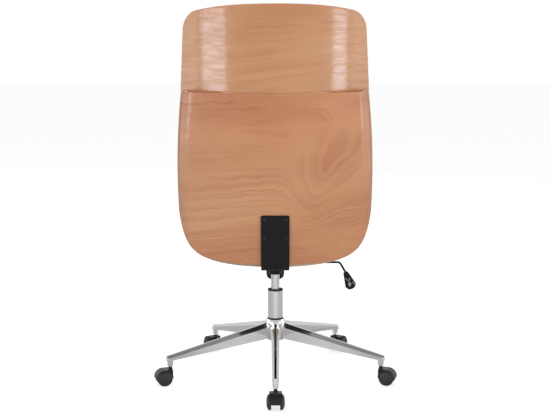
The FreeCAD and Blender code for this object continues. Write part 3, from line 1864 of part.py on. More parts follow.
casters()
star_base()
gas_column()
mechanism()
seat_board()
seat_fasteners()
seat_cushion()
upholstered_back()
check_and_write()
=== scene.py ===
import math

import bmesh
import bpy
from mathutils import Euler, Matrix, Vector, noise
from mathutils.bvhtree import BVHTree


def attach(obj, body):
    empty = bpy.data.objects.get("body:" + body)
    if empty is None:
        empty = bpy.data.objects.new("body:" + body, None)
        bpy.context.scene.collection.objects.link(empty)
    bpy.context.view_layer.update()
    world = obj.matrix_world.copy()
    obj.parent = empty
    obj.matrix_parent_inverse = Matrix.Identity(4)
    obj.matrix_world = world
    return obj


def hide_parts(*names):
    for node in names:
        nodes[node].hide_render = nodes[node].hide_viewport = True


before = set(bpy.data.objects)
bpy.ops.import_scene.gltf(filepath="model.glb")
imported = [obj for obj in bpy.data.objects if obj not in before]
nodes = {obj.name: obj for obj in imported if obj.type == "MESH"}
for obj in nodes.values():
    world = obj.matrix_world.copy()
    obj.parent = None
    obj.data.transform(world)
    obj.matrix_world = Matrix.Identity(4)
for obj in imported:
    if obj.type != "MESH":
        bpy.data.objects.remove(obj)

# Office armchair seen from behind. Lengths below are in millimetres until MM turns them into metres.
# The sitter faces -Y, the lever is on -X, and +Z is up.

MM = 0.001
scene = bpy.context.scene
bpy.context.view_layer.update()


# ---- Small helpers for objects and meshes


def linked(name, data):
    obj = bpy.data.objects.new(name, data)
    scene.collection.objects.link(obj)
    return obj


def from_bmesh(name, bm):
    bmesh.ops.recalc_face_normals(bm, faces=bm.faces)
    mesh = bpy.data.meshes.new(name)
    bm.to_mesh(mesh)
    bm.free()
    return linked(name, mesh)


def smooth(obj, sharp=32):
    """Smooth shading, with edges sharper than that angle kept crisp."""
    mesh = obj.data
    mesh.polygons.foreach_set("use_smooth", [True] * len(mesh.polygons))
    mesh.set_sharp_from_angle(angle=math.radians(sharp))
    mesh.update()


def settle(obj):
    """Turns an object's modifiers into its own mesh."""
    graph = bpy.context.evaluated_depsgraph_get()
    shown = obj.evaluated_get(graph)
    mesh = bpy.data.meshes.new_from_object(shown, preserve_all_data_layers=True, depsgraph=graph)
    obj.modifiers.clear()
    old = obj.data
    obj.data = mesh
    mesh.name = obj.name
    bpy.data.meshes.remove(old)


HARD_SLOTS = "polished_metal chrome steel black_paint black_plastic wheel_plastic hood_plastic".split()


def even_normals(obj):
    """Large faces keep their own direction, so that only the eased edges between them bend reflections."""
    mod = obj.modifiers.new("even_normals", "WEIGHTED_NORMAL")
    mod.mode = "FACE_AREA"
    mod.weight = 90
    mod.keep_sharp = True
    settle(obj)


def finish_piece(obj, body, materials, replaces=(), slot=None, sharp=32):
    """Gives a piece its materials, shading and body, and the nodes that it stands for."""
    obj.data.materials.clear()
    for material in materials:
        obj.data.materials.append(material)
    smooth(obj, sharp)
    if slot in HARD_SLOTS:
        even_normals(obj)
    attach(obj, body)
    if replaces:
        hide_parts(*replaces)
    return obj


def bevelled(obj, width, segments=2, angle=28, limit="ANGLE", material=-1, clamp=True):
    """Rounds edges: those sharper than an angle, or those with a weight."""
    mod = obj.modifiers.new("eased_edges", "BEVEL")
    mod.width = width * MM
    mod.segments = segments
    mod.limit_method = limit
    mod.angle_limit = math.radians(angle)
    mod.material = material
    mod.use_clamp_overlap = clamp
    mod.harden_normals = False
    settle(obj)
    return obj


SAME_PLACE, NEARLY_FLAT = 1e-6, math.radians(0.6)


def joined_faces(node):
    """A CAD node's mesh with its flat faces joined up."""
    bm = bmesh.new()
    bm.from_mesh(nodes[node].data)
    bmesh.ops.remove_doubles(bm, verts=bm.verts, dist=SAME_PLACE)
    bmesh.ops.dissolve_limit(
        bm, angle_limit=NEARLY_FLAT, verts=bm.verts, edges=bm.edges, use_dissolve_boundaries=False
    )
    return bm


def eased_copy(node, width, segments=2, name=None, angle=28):
    """A copy of a CAD node's mesh with its sharp edges eased."""
    return bevelled(from_bmesh(name or f"{node}_form", joined_faces(node)), width, segments, angle)


def bridge(bm, low, high):
    """Joins two closed rings of vertices with faces."""
    count = len(low)
    for k in range(count):
        n = (k + 1) % count
        bm.faces.new((low[k], low[n], high[n], high[k]))


def lathe(name, profile, segments=96, closed=False):
    """A form turned about +Z from (radius, height) points; points on the axis are shared."""
    bm = bmesh.new()
    turns = [2 * math.pi * k / segments for k in range(segments)]
    rings = []
    for radius, height in profile:
        spots = [(radius * math.cos(turn), radius * math.sin(turn)) for turn in turns] if radius else [(0, 0)]
        rings.append([bm.verts.new((x * MM, y * MM, height * MM)) for x, y in spots])
    pairs = list(zip(rings, rings[1:]))
    if closed:
        pairs.append((rings[-1], rings[0]))
    for low, high in pairs:
        for k in range(segments):
            n = (k + 1) % segments
            corners = []
            for vert in (low[k % len(low)], low[n % len(low)], high[n % len(high)], high[k % len(high)]):
                if vert not in corners:
                    corners.append(vert)
            if len(corners) > 2:
                bm.faces.new(corners)
    return from_bmesh(name, bm)


TRIM_SHARE, NEARLY_STRAIGHT = 0.48, math.radians(88)


def rounded_profile(points, steps=4):
    """A profile whose corners are rounded; each point carries its own radius as a third value."""
    out = []
    count = len(points)
    for index, point in enumerate(points):
        here = Vector(point[:2])
        own = point[2]
        if index in (0, count - 1) or own <= 0:
            out.append(tuple(here))
            continue
        before, after = Vector(points[index - 1][:2]), Vector(points[index + 1][:2])
        back, forth = before - here, after - here
        half = back.angle(forth) / 2
        if half > NEARLY_STRAIGHT:
            out.append(tuple(here))
            continue
        trim = min(own / math.tan(half), back.length * TRIM_SHARE, forth.length * TRIM_SHARE)
        start, end = here + back.normalized() * trim, here + forth.normalized() * trim
        for k in range(steps + 1):
            t = k / steps
            out.append(tuple(start * (1 - t) ** 2 + here * 2 * t * (1 - t) + end * t * t))
    return out


def closed_tube(name, points, radius):
    """A round tube along a closed line of points in metres."""
    curve = bpy.data.curves.new(name, "CURVE")
    curve.dimensions = "3D"
    curve.bevel_depth = radius * MM
    curve.bevel_resolution = 2
    curve.use_fill_caps = True
    spline = curve.splines.new("POLY")
    spline.points.add(len(points) - 1)
    for target, point in zip(spline.points, points):
        target.co = (*point, 1)
    spline.use_cyclic_u = True
    obj = linked(name, curve)
    graph = bpy.context.evaluated_depsgraph_get()
    mesh = bpy.data.meshes.new_from_object(obj.evaluated_get(graph))
    bpy.data.objects.remove(obj)
    return linked(name, mesh)


def wavy(position, scale, seed=0.0):
    """Smooth signed noise at a point."""
    return noise.noise(Vector(position) * scale + Vector((seed, seed * 1.7, -seed)))


# ---- Materials


class Tree:
    """Short ways to fill the node tree of a material or a world."""

    def __init__(self, owner):
        owner.use_nodes = True
        self.tree = owner.node_tree
        self.tree.nodes.clear()

    def put(self, socket, value):
        if isinstance(value, bpy.types.NodeSocket):
            self.tree.links.new(value, socket)
        elif isinstance(value, (tuple, list)) and len(value) == 3 and socket.type == "RGBA":
            socket.default_value = (*value, 1)
        else:
            socket.default_value = value

    def node(self, kind, inputs=(), **props):
        made = self.tree.nodes.new(kind)
        for key, value in props.items():
            setattr(made, key, value)
        for key, value in dict(inputs).items():
            self.put(made.inputs[key], value)
        return made

    def math(self, operation, *values, clamp=False):
        made = self.node("ShaderNodeMath", dict(enumerate(values)), operation=operation)
        made.use_clamp = clamp
        return made.outputs[0]

    def vector(self, operation, first, second=(0, 0, 0)):
        return self.node("ShaderNodeVectorMath", {0: first, 1: second}, operation=operation).outputs[0]

    def times(self, first, second):
        return self.math("MULTIPLY", first, second)

    def scaled(self, vector, x, y, z=1.0):
        return self.vector("MULTIPLY", vector, (x, y, z))

    def joined(self, x, y):
        return self.node("ShaderNodeCombineXYZ", {0: x, 1: y}).outputs[0]

    def split(self, vector):
        return self.node("ShaderNodeSeparateXYZ", {0: vector}).outputs

    def noise(self, vector, scale=5.0, detail=2.0, rough=0.5, warp=0.0, output=0):
        inputs = {"Vector": vector, "Scale": scale, "Detail": detail, "Roughness": rough, "Distortion": warp}
        return self.node("ShaderNodeTexNoise", inputs).outputs[output]

    def drawn(self, vector, x, y, detail=2.0, rough=0.5):
        """Noise that is drawn out or squeezed along the first two axes."""
        return self.noise(self.scaled(vector, x, y), 1.0, detail, rough)

    def spread(self, value, low, high, to_low=0.0, to_high=1.0, smooth=False):
        inputs = {"Value": value, "From Min": low, "From Max": high, "To Min": to_low, "To Max": to_high}
        kind = "SMOOTHSTEP" if smooth else "LINEAR"
        return self.node("ShaderNodeMapRange", inputs, interpolation_type=kind).outputs[0]

    def mix(self, share, first, second, blend="MIX"):
        made = self.node("ShaderNodeMix", data_type="RGBA", blend_type=blend)
        self.put(made.inputs[0], share)
        self.put(made.inputs[6], first)
        self.put(made.inputs[7], second)
        return made.outputs[2]

    def ramp(self, value, *stops, kind="EASE"):
        made = self.node("ShaderNodeValToRGB", {"Fac": value})
        ramp = made.color_ramp
        ramp.interpolation = kind
        while len(ramp.elements) < len(stops):
            ramp.elements.new(0.5)
        for element, (place, colour) in zip(ramp.elements, stops):
            element.position = place
            element.color = (*colour, 1)
        return made.outputs[0]

    def place(self):
        return self.node("ShaderNodeTexCoord").outputs["Object"]

    def bell(self, across, up, centre_across, centre_up, wide, tall, turn):
        """A smooth hill of height 1 over the map; turn leans its upper end towards +across, in degrees."""
        dx = self.math("SUBTRACT", across, centre_across)
        dz = self.math("SUBTRACT", up, centre_up)
        cos, sin = math.cos(math.radians(turn)), math.sin(math.radians(turn))
        side = self.math("SUBTRACT", self.times(dx, cos), self.times(dz, sin))
        length = self.math("ADD", self.times(dx, sin), self.times(dz, cos))
        side, length = self.math("DIVIDE", side, wide), self.math("DIVIDE", length, tall)
        away = self.math("ADD", self.times(side, side), self.times(length, length))
        return self.math("EXPONENT", self.times(away, -0.5))

    def bump(self, height, strength, distance):
        inputs = {"Height": height, "Strength": strength, "Distance": distance}
        return self.node("ShaderNodeBump", inputs).outputs[0]


class Graph(Tree):
    """A material with one Principled surface."""

    def __init__(self, name):
        self.material = bpy.data.materials.new(name)
        super().__init__(self.material)
        self.surface = self.node("ShaderNodeBsdfPrincipled")
        self.node("ShaderNodeOutputMaterial", {"Surface": self.surface.outputs[0]})

    def set(self, **values):
        for key, value in values.items():
            self.put(self.surface.inputs[key.replace("_", " ")], value)


def darker(colour, share):
    return tuple(part * share for part in colour)


def worn_tone(colour, gain, lift):
    """The paler tone of a dark surface where it is rubbed or dusty."""
    return tuple(min(part * gain + lift, 1) for part in colour)


def srgb(red, green, blue):
    def channel(value):
        value /= 255
        return value / 12.92 if value <= 0.04045 else ((value + 0.055) / 1.055) ** 2.4

    return channel(red), channel(green), channel(blue)


PALE_WOOD = srgb(212, 166, 126)


def veneer(name, light, dark, figure, seed):
    """Lacquered wood veneer. The grain map holds metres along the panel, and metres up."""
    g = Graph(name)
    grain = g.node("ShaderNodeUVMap", uv_map="grain").outputs[0]
    seeded = g.vector("ADD", grain, (seed, seed * 0.37, seed * 1.9))
    # The grain wanders, and its outlines are ragged
    wander = g.vector("SUBTRACT", g.noise(seeded, 21.0, 3.0, 0.62, output="Color"), (0.5, 0.5, 0.5))
    moved = g.vector("ADD", grain, g.scaled(wander, figure["ragged"], figure["ragged"] * 0.8, 0.0))
    across, up = g.split(moved)[:2]

    # The growth rings cut the face along the level lines of a height field
    drift = g.drawn(seeded, 1.7, 4.0, 1.0, 0.4)
    field = g.math("MULTIPLY_ADD", drift, figure["drift"], up)
    lean = g.spread(up, figure["lean_low"], figure["lean_high"], figure["lean"], 0.0, smooth=True)
    field = g.math("SUBTRACT", field, g.times(lean, across))
    for hill in figure["knots"]:
        field = g.math("MULTIPLY_ADD", g.bell(across, up, *hill[:5]), hill[5], field)

    # Where the figure shows: streaks, fans of lines and knots stand in calmer wood
    show = figure["calm"]
    for spot in figure["shown"]:
        show = g.math("MAXIMUM", show, g.times(g.bell(across, up, *spot[:5]), spot[5]))
    patch = g.drawn(seeded, 5.0, 13.0, 2.0, 0.5)
    show = g.times(show, g.spread(patch, 0.30, 0.62, 0.55, 1.0, smooth=True))

    # Broad soft bands, thin lines of uneven strength, and short fibres that run with them
    ring_place = g.joined(across, field)
    broad = g.drawn(ring_place, 1.0, figure["broad"], 2.0, 0.5)
    fine = g.drawn(ring_place, 1.6, figure["fine"], 3.0, 0.6)
    line = g.drawn(ring_place, 0.8, figure["line"], 1.0, 0.4)
    vein = g.spread(g.math("ABSOLUTE", g.math("SUBTRACT", line, 0.5)), 0.0, 0.06, 1.0, 0.0, smooth=True)
    strength = g.drawn(ring_place, 6.0, 9.0, 1.0)
    vein = g.times(vein, g.spread(strength, 0.35, 0.62, 0.0, 1.0, smooth=True))
    fibre = g.drawn(ring_place, 7.0, 520.0, 3.0, 0.6)
    fleck = g.spread(g.noise(g.scaled(g.joined(across, up), 45.0, 800.0, 1.0), 1.0, 1.0), 0.64, 0.80)

    tone = g.times(g.spread(broad, 0.25, 0.75), 0.50)
    tone = g.math("MULTIPLY_ADD", g.spread(fine, 0.35, 0.65), 0.20, tone)
    tone = g.math("MULTIPLY_ADD", vein, figure["veins"], tone)
    tone = g.times(tone, show)
    cloud = g.drawn(seeded, 3.0, 6.0, 3.0, 0.5)
    tone = g.math("MULTIPLY_ADD", g.spread(cloud, 0.3, 0.7), 0.20, tone)
    tone = g.math("MULTIPLY_ADD", g.spread(fibre, 0.3, 0.7), 0.10, tone)
    tone = g.math("MULTIPLY_ADD", fleck, 0.07, tone, clamp=True)
    middle = tuple(a * 0.5 + b * 0.5 for a, b in zip(light, dark))
    colour = g.ramp(tone, (0.0, light), (0.5, middle), (1.0, dark))
    # A paler fan, striped along the rings
    fan = g.times(g.bell(across, up, *figure["pale"][:5]), figure["pale"][5])
    fan = g.times(fan, g.spread(fine, 0.38, 0.62, 1.0, 0.45, smooth=True))
    colour = g.mix(fan, colour, PALE_WOOD)
    # Slow shifts of warmth over the sheet
    shift = g.drawn(seeded, 1.3, 3.1, 1.0)
    warm = g.mix(g.spread(shift, 0.3, 0.7, 0.0, 0.5), (1, 1, 1), figure["cast"])
    colour = g.mix(1.0, colour, warm, "MULTIPLY")

    # The lacquer follows the open grain, so long reflections break into level glints
    pores = g.drawn(seeded, 13.0, 210.0, 3.0, 0.6)
    swell = g.drawn(seeded, 14.0, 90.0, 2.0, 0.5)
    height = g.math("MULTIPLY_ADD", fibre, 0.6, g.times(tone, 0.3))
    shaded = g.bump(height, 0.25, 0.00025)
    gloss = g.bump(g.math("MULTIPLY_ADD", swell, 1.6, g.times(pores, 0.55)), 0.5, 0.0008)
    glint = g.times(g.spread(swell, 0.36, 0.64, 0.62, 1.15, smooth=True), figure["coat"])
    g.set(Base_Color=colour, Roughness=g.spread(fibre, 0.3, 0.7, 0.42, 0.54), Normal=shaded)
    g.set(Specular_IOR_Level=0.3, Coat_Weight=glint, Coat_Normal=gloss, Coat_IOR=1.5)
    g.set(Coat_Roughness=g.spread(pores, 0.3, 0.7, 0.10, 0.20))
    return g.material


def ply_edge(name, pale, brown, layer, lines=0.55):
    """The cut edge of plywood. The depth map holds how deep in the board a point lies, in millimetres."""
    g = Graph(name)
    depth = g.node("ShaderNodeAttribute", attribute_name="depth").outputs["Fac"]
    place = g.place()
    wobble = g.noise(place, 14.0, 2.0)
    deep = g.math("MULTIPLY_ADD", wobble, 0.35, depth)
    turn = g.math("PINGPONG", g.math("FRACT", g.math("DIVIDE", deep, layer * 2)), 0.5)
    ply = g.spread(turn, 0.20, 0.30, 0.0, 1.0, smooth=True)
    glue = g.spread(g.math("ABSOLUTE", g.math("SUBTRACT", turn, 0.25)), 0.0, 0.05, 1.0, 0.0)
    fibre = g.noise(g.scaled(place, 60, 60, 300), 1.0, 3.0)
    pores = g.noise(g.scaled(place, 700, 700, 700), 1.0, 1.0)
    colour = g.mix(g.times(ply, lines), pale, brown)
    colour = g.mix(g.times(glue, 0.35), colour, darker(brown, 0.45))
    colour = g.mix(g.spread(fibre, 0.35, 0.7, 0.0, 0.3), colour, darker(pale, 0.8))
    colour = g.mix(g.spread(pores, 0.6, 0.75, 0.0, 0.25), colour, darker(brown, 0.5))
    g.set(Base_Color=colour, Roughness=0.45, Coat_Weight=0.35, Coat_Roughness=0.25)
    g.set(Normal=g.bump(g.math("ADD", fibre, ply), 0.2, 0.0002))
    return g.material


def metal(name, colour, rough_low, rough_high, brushed=(90, 90, 90), depth=0.00002, smudge=6.0):
    """Bright metal with fine polishing marks and faint smudges."""
    g = Graph(name)
    place = g.place()
    marks = g.noise(g.scaled(place, *brushed), 1.0, 4.0, 0.6)
    film = g.noise(place, smudge, 3.0, 0.55, 0.4)
    rough = g.math("ADD", g.spread(film, 0.35, 0.7, rough_low, rough_high), g.times(marks, 0.03))
    tint = g.mix(g.spread(film, 0.4, 0.75, 0.0, 0.25), colour, darker(colour, 0.9))
    g.set(Base_Color=tint, Metallic=1.0, Roughness=rough, Normal=g.bump(marks, 0.15, depth))
    return g.material


def plastic(name, colour, rough, grain=1500.0, depth=0.00006, shine=0.2):
    """Moulded plastic with a fine spark-eroded grain, slightly polished where it is touched."""
    g = Graph(name)
    place = g.place()
    pits = g.noise(place, grain, 2.0, 0.6)
    cloud = g.noise(place, 22.0, 3.0, 0.5)
    tint = g.mix(g.spread(cloud, 0.35, 0.7, 0.0, 0.25), colour, worn_tone(colour, 1.5, 0.003))
    g.set(Base_Color=tint, Roughness=g.spread(cloud, 0.3, 0.7, rough - 0.06, rough + 0.08))
    g.set(Specular_IOR_Level=shine, Normal=g.bump(pits, 0.35, depth))
    return g.material


def powder_coat(name, colour, rough=0.42):
    """Satin powder coat with a faint orange-peel skin."""
    g = Graph(name)
    place = g.place()
    peel = g.noise(place, 420.0, 2.0, 0.5)
    dust = g.noise(place, 9.0, 3.0, 0.6)
    tint = g.mix(g.spread(dust, 0.4, 0.75, 0.0, 0.3), colour, worn_tone(colour, 1.4, 0.002))
    g.set(Base_Color=tint, Roughness=g.spread(dust, 0.3, 0.7, rough - 0.05, rough + 0.08))
    g.set(Specular_IOR_Level=0.18, Normal=g.bump(peel, 0.3, 0.00012))
    return g.material


def leather(name, colour, deep):
    """Soft grained cover: pebbles, fine creases and a slow change of tone."""
    g = Graph(name)
    place = g.place()
    warped = g.vector("ADD", place, g.scaled(g.noise(place, 30.0, output="Color"), 0.006, 0.006, 0.006))
    cells = g.node("ShaderNodeTexVoronoi", {"Vector": warped, "Scale": 620.0}, feature="DISTANCE_TO_EDGE")
    pebble = g.spread(cells.outputs["Distance"], 0.0, 0.28, 0.0, 1.0, smooth=True)
    crease = g.noise(place, 55.0, 4.0, 0.62, 0.8)
    crease = g.spread(g.math("ABSOLUTE", g.math("SUBTRACT", crease, 0.5)), 0.0, 0.05, 0.0, 1.0, smooth=True)
    slow = g.noise(place, 5.0, 3.0, 0.5)
    tint = g.mix(g.spread(slow, 0.35, 0.7, 0.0, 0.30), colour, deep)
    # Painted shade: the grooves between the pebbles are coloured darker
    tint = g.mix(g.spread(pebble, 0.0, 0.6, 0.35, 0.0), tint, darker(deep, 0.72))
    height = g.math("MULTIPLY_ADD", crease, 0.35, pebble)
    g.set(Base_Color=tint, Roughness=g.spread(pebble, 0.0, 1.0, 0.62, 0.46))
    g.set(Normal=g.bump(height, 0.35, 0.00035), Specular_IOR_Level=0.45)
    g.set(Sheen_Weight=0.08, Sheen_Roughness=0.4)
    return g.material


def woven(name, colour, deep):
    """A thin dark lining cloth."""
    g = Graph(name)
    place = g.place()
    wave = {"Vector": place, "Scale": 260.0, "Distortion": 0.6}
    weft, warp = (g.node("ShaderNodeTexWave", wave, bands_direction=way).outputs[1] for way in "XY")
    weave = g.times(weft, warp)
    slow = g.noise(place, 12.0, 3.0)
    tint = g.mix(g.spread(slow, 0.3, 0.7), colour, deep)
    g.set(Base_Color=tint, Roughness=0.85, Normal=g.bump(weave, 0.4, 0.0002), Sheen_Weight=0.1)
    return g.material


# Hills are (across, up, width, height, turn, rise or strength). The picture's right side is -across.
BACK_FIGURE = {
    "ragged": 0.036,
    "drift": 0.050,
    "lean_low": 0.62,
    "lean_high": 0.80,
    "lean": -0.13,
    "knots": (
        (-0.178, 0.750, 0.046, 0.098, -28.0, 0.175),
        (-0.200, 0.725, 0.020, 0.045, -40.0, -0.045),
        (-0.112, 0.655, 0.036, 0.085, -12.0, 0.070),
        (-0.215, 0.690, 0.075, 0.060, 0.0, 0.045),
    ),
    "shown": (
        (0.02, 0.925, 0.60, 0.040, 0.0, 0.75),
        (0.16, 0.625, 0.150, 0.080, 12.0, 0.85),
        (0.10, 0.500, 0.220, 0.060, 0.0, 0.8),
        (-0.175, 0.745, 0.062, 0.090, -30.0, 1.0),
        (-0.20, 0.60, 0.120, 0.055, -10.0, 0.9),
    ),
    "calm": 0.22,
    "broad": 19.0,
    "fine": 85.0,
    "line": 30.0,
    "veins": 0.55,
    "cast": (1.0, 0.94, 0.90),
    "pale": (0.15, 0.610, 0.190, 0.085, 14.0, 0.62),
    "coat": 0.55,
}
HEAD_FIGURE = {
    "ragged": 0.012,
    "drift": 0.045,
    "lean_low": 0.90,
    "lean_high": 1.40,
    "lean": -0.16,
    "knots": ((0.05, 1.30, 0.25, 0.10, 0.0, 0.05),),
    "shown": ((-0.02, 1.17, 0.20, 0.070, 10.0, 0.55), (0.18, 1.15, 0.10, 0.10, 0.0, 0.45)),
    "calm": 0.20,
    "broad": 12.0,
    "fine": 60.0,
    "line": 34.0,
    "veins": 0.80,
    "cast": (1.0, 0.99, 0.95),
    "pale": (0.10, 1.050, 0.250, 0.080, 0.0, 0.15),
    "coat": 0.85,
}

back_veneer = veneer("back_veneer", srgb(199, 142, 103), srgb(160, 94, 59), BACK_FIGURE, 3.1)
head_veneer = veneer("head_veneer", srgb(194, 140, 97), srgb(161, 99, 61), HEAD_FIGURE, 7.7)
panel_edge = ply_edge("panel_edge", srgb(203, 158, 120), srgb(178, 126, 90), 1.4, 0.5)
# Painted shade: a darker edge colour for the rims that meet at the seam between the two panels
seam_shade_edge = ply_edge("seam_shade_edge", srgb(150, 98, 64), srgb(122, 76, 48), 1.4, 0.5)
board_edge = ply_edge("board_edge", srgb(220, 196, 168), srgb(184, 150, 120), 1.5, 0.6)
inner_ply = ply_edge("inner_ply", srgb(205, 176, 140), srgb(180, 140, 105), 1.5, 0.3)
polished = metal("polished_metal", (0.80, 0.79, 0.80), 0.05, 0.10, (60, 60, 220))
chrome = metal("chrome_plate", (0.80, 0.80, 0.805), 0.03, 0.07, (30, 30, 400))
zinc = metal("zinc_plate", (0.62, 0.62, 0.64), 0.22, 0.34, (300, 300, 300), 0.00005)
dark_steel = metal("blackened_steel", (0.05, 0.05, 0.052), 0.28, 0.40, (300, 300, 300), 0.00005)
black_paint = powder_coat("black_powder_coat", (0.0065, 0.0063, 0.0068))
black_plastic = plastic("black_plastic", (0.007, 0.007, 0.0075), 0.44)
knob_plastic = plastic("knob_plastic", (0.0075, 0.0075, 0.008), 0.50, 1100.0)
wheel_plastic = plastic("wheel_plastic", (0.026, 0.026, 0.030), 0.42, 1800.0, shine=0.35)
hood_plastic = plastic("hood_plastic", (0.013, 0.013, 0.015), 0.30, 1800.0, shine=0.3)
rubber = plastic("rubber", (0.015, 0.015, 0.015), 0.70, 900.0, 0.0001)
cover = leather("cover", srgb(222, 212, 196), srgb(205, 192, 172))
welt = leather("welt", srgb(214, 203, 186), srgb(196, 182, 162))
thread = plastic("thread", srgb(190, 176, 154), 0.65, 2400.0, 0.0001)
lining = woven("lining", (0.020, 0.013, 0.011), (0.012, 0.008, 0.007))
# Painted highlight: the raised sign on the black paddle is coloured pale grey to stand for the glints off it
sign_highlight = plastic("sign_highlight", srgb(158, 158, 162), 0.5)


# ---- Bent wood panels, from the same sizes as the solids

SHELL_LOW, SHELL_HIGH = 428.0, 966.0
HEAD_LOW, HEAD_HIGH = 966.6, 1232.0
PLY = 12.0
SHELL_REAR, SHELL_SLOPE = 258.0, math.tan(math.radians(7.83))
HEAD_SET_BACK, HEAD_SLOPE = 1.0, math.tan(math.radians(5.2))


PAD_DEPTH, PAD_MARGIN = 20.6, 14


class Panel:
    """A bent sheet: its rear face leans back by slope above its foot, and its plan is a circle up to flat."""

    def rear(self, height):
        return self.foot + (height - self.low) * self.slope

    def pad_back(self, co):
        """The y in metres up to which the front of a pad's cover reaches, at a point's height and side."""
        across = min(abs(co.x) / MM, self.flat)
        forward = self.plan - math.sqrt(self.plan**2 - across**2)
        return (self.rear(co.z / MM) - forward - PAD_DEPTH - PAD_MARGIN) * MM


class LowerBack(Panel):
    """The lower panel: a wide curve, two flanks that bend forward, and straight wings."""

    foot, low, slope = SHELL_REAR, SHELL_LOW, SHELL_SLOPE
    plan, flank_start, half_width = 950.0, 265.0, 303.2
    flat = flank_start
    start_angle = math.asin(flank_start / plan)
    start = plan * start_angle
    flank = (half_width - flank_start) / (1 - math.sin(start_angle))
    limb = start + flank * (math.pi / 2 - start_angle)
    end = limb + 286.0
    sweep_start, sweep_length, sweep_drop = 12.0, 118.0, 261.0
    end_radius = 46.0
    waist, waist_span, narrowing = SHELL_LOW + 257.0, 281.0, 16.0
    foot_rises, foot_span, most_rise = ((26.0, 2.5), (70.0, 9.5)), 300.0, 170.0

    def plan_point(self, length, depth):
        side, run = math.copysign(1, length), abs(length)
        if run <= self.start:
            turn = run / self.plan
            radius = self.plan - depth
            return side * radius * math.sin(turn), self.plan - radius * math.cos(turn)
        turn = min(self.start_angle + (run - self.start) / self.flank, math.pi / 2)
        centre_across = (self.plan - self.flank) * math.sin(self.start_angle)
        centre_forward = self.plan - (self.plan - self.flank) * math.cos(self.start_angle)
        across = centre_across + (self.flank - depth) * math.sin(turn)
        forward = centre_forward - (self.flank - depth) * math.cos(turn) + max(run - self.limb, 0)
        return side * across, forward

    def point(self, length, height, depth=0.0):
        across, forward = self.plan_point(length, depth)
        narrower = self.narrowing * ((height - self.waist) / self.waist_span) ** 2
        across *= (self.half_width - narrower) / self.half_width
        return Vector((across, self.rear(height) - forward, height)) * MM

    def end_round(self, length):
        into = min(abs(length) - (self.end - self.end_radius), self.end_radius)
        return self.end_radius - math.sqrt(self.end_radius**2 - into * into) if into > 0 else 0.0

    def low_edge(self, length):
        share = abs(length) / self.foot_span
        rise = sum(height * share**power for height, power in self.foot_rises)
        return SHELL_LOW + rise / (1 + (rise / self.most_rise) ** 6) ** (1 / 6) + self.end_round(length)

    def high_edge(self, length):
        share = min(max((abs(length) - self.limb - self.sweep_start) / self.sweep_length, 0), 1)
        return SHELL_HIGH - self.sweep_drop * share * share * (3 - 2 * share) - self.end_round(length)

    def columns(self):
        half = [self.start * k / 24 for k in range(24)]
        half += [self.start + (self.limb - self.start) * k / 22 for k in range(22)]
        sweep = self.sweep_start + self.sweep_length
        straight = self.end - self.end_radius
        half += [self.limb + sweep * k / 24 for k in range(24)]
        half += [self.limb + sweep + (straight - self.limb - sweep) * k / 10 for k in range(10)]
        half += [straight + self.end_radius * math.sin(math.radians(87.5) * k / 14) for k in range(15)]
        return [-s for s in reversed(half[1:])] + half


class HeadPanel(Panel):
    """The head panel: a tighter curve, with a crown that falls to its sides."""

    plan, flat, low, slope = 450.0, 420, HEAD_LOW, HEAD_SLOPE
    foot = SHELL_REAR + (SHELL_HIGH - SHELL_LOW) * SHELL_SLOPE + HEAD_SET_BACK
    half_foot, half_top, corner, foot_corner = 313.8, 294.6, 46.0, 3.0
    crown, crown_power = 31.8, 2.5
    # Where the head panel stands ahead of the lower one, its foot hangs lower and closes the seam
    foot_drop, drop_from, drop_fade, drop_to, drop_end = 4.0, 0.50, 0.14, 0.94, 0.06

    def half_length(self, height):
        share = (height - HEAD_LOW) / (HEAD_HIGH - HEAD_LOW)
        return self.half_foot + (self.half_top - self.half_foot) * share

    def point(self, share, height, depth=0.0):
        turn = share * self.half_length(height) / self.plan
        forward = self.plan - (self.plan - depth) * math.cos(turn)
        return Vector(((self.plan - depth) * math.sin(turn), self.rear(height) - forward, height)) * MM

    def corner_rise(self, share, half, corner):
        into = min((abs(share) - 1) * half + corner, corner)
        return corner - math.sqrt(corner**2 - into * into) if into > 0 else 0.0

    def high_edge(self, share, margin=0.0):
        corner = self.corner_rise(share, self.half_top, self.corner)
        return HEAD_HIGH - margin - self.crown * abs(share) ** self.crown_power - corner

    def low_edge(self, share):
        corner = self.corner_rise(share, self.half_foot, self.foot_corner)
        begun = min(max((abs(share) - self.drop_from) / self.drop_fade, 0), 1)
        left = min(max((self.drop_to - abs(share)) / self.drop_end, 0), 1)
        return HEAD_LOW + corner - self.foot_drop * min(begun, left)

    def columns(self):
        straight = 1 - self.corner / self.half_top
        half = [straight * k / 30 for k in range(30)]
        half += [straight + (1 - straight) * math.sin(math.radians(88.5) * k / 20) for k in range(21)]
        return [-share for share in reversed(half[1:])] + half


lower_back = LowerBack()
head_panel = HeadPanel()
RIM_ROUND, SEAM_SHARE = 2.4, 0.4


def rim_steps(last_i, last_k):
    """Pairs of neighbours all round the rim of a grid."""
    rim = [(i, 0) for i in range(last_i + 1)] + [(last_i, k) for k in range(1, last_k + 1)]
    rim += [(i, last_k) for i in range(last_i - 1, -1, -1)] + [(0, k) for k in range(last_k - 1, 0, -1)]
    return zip(rim, rim[1:] + rim[:1])


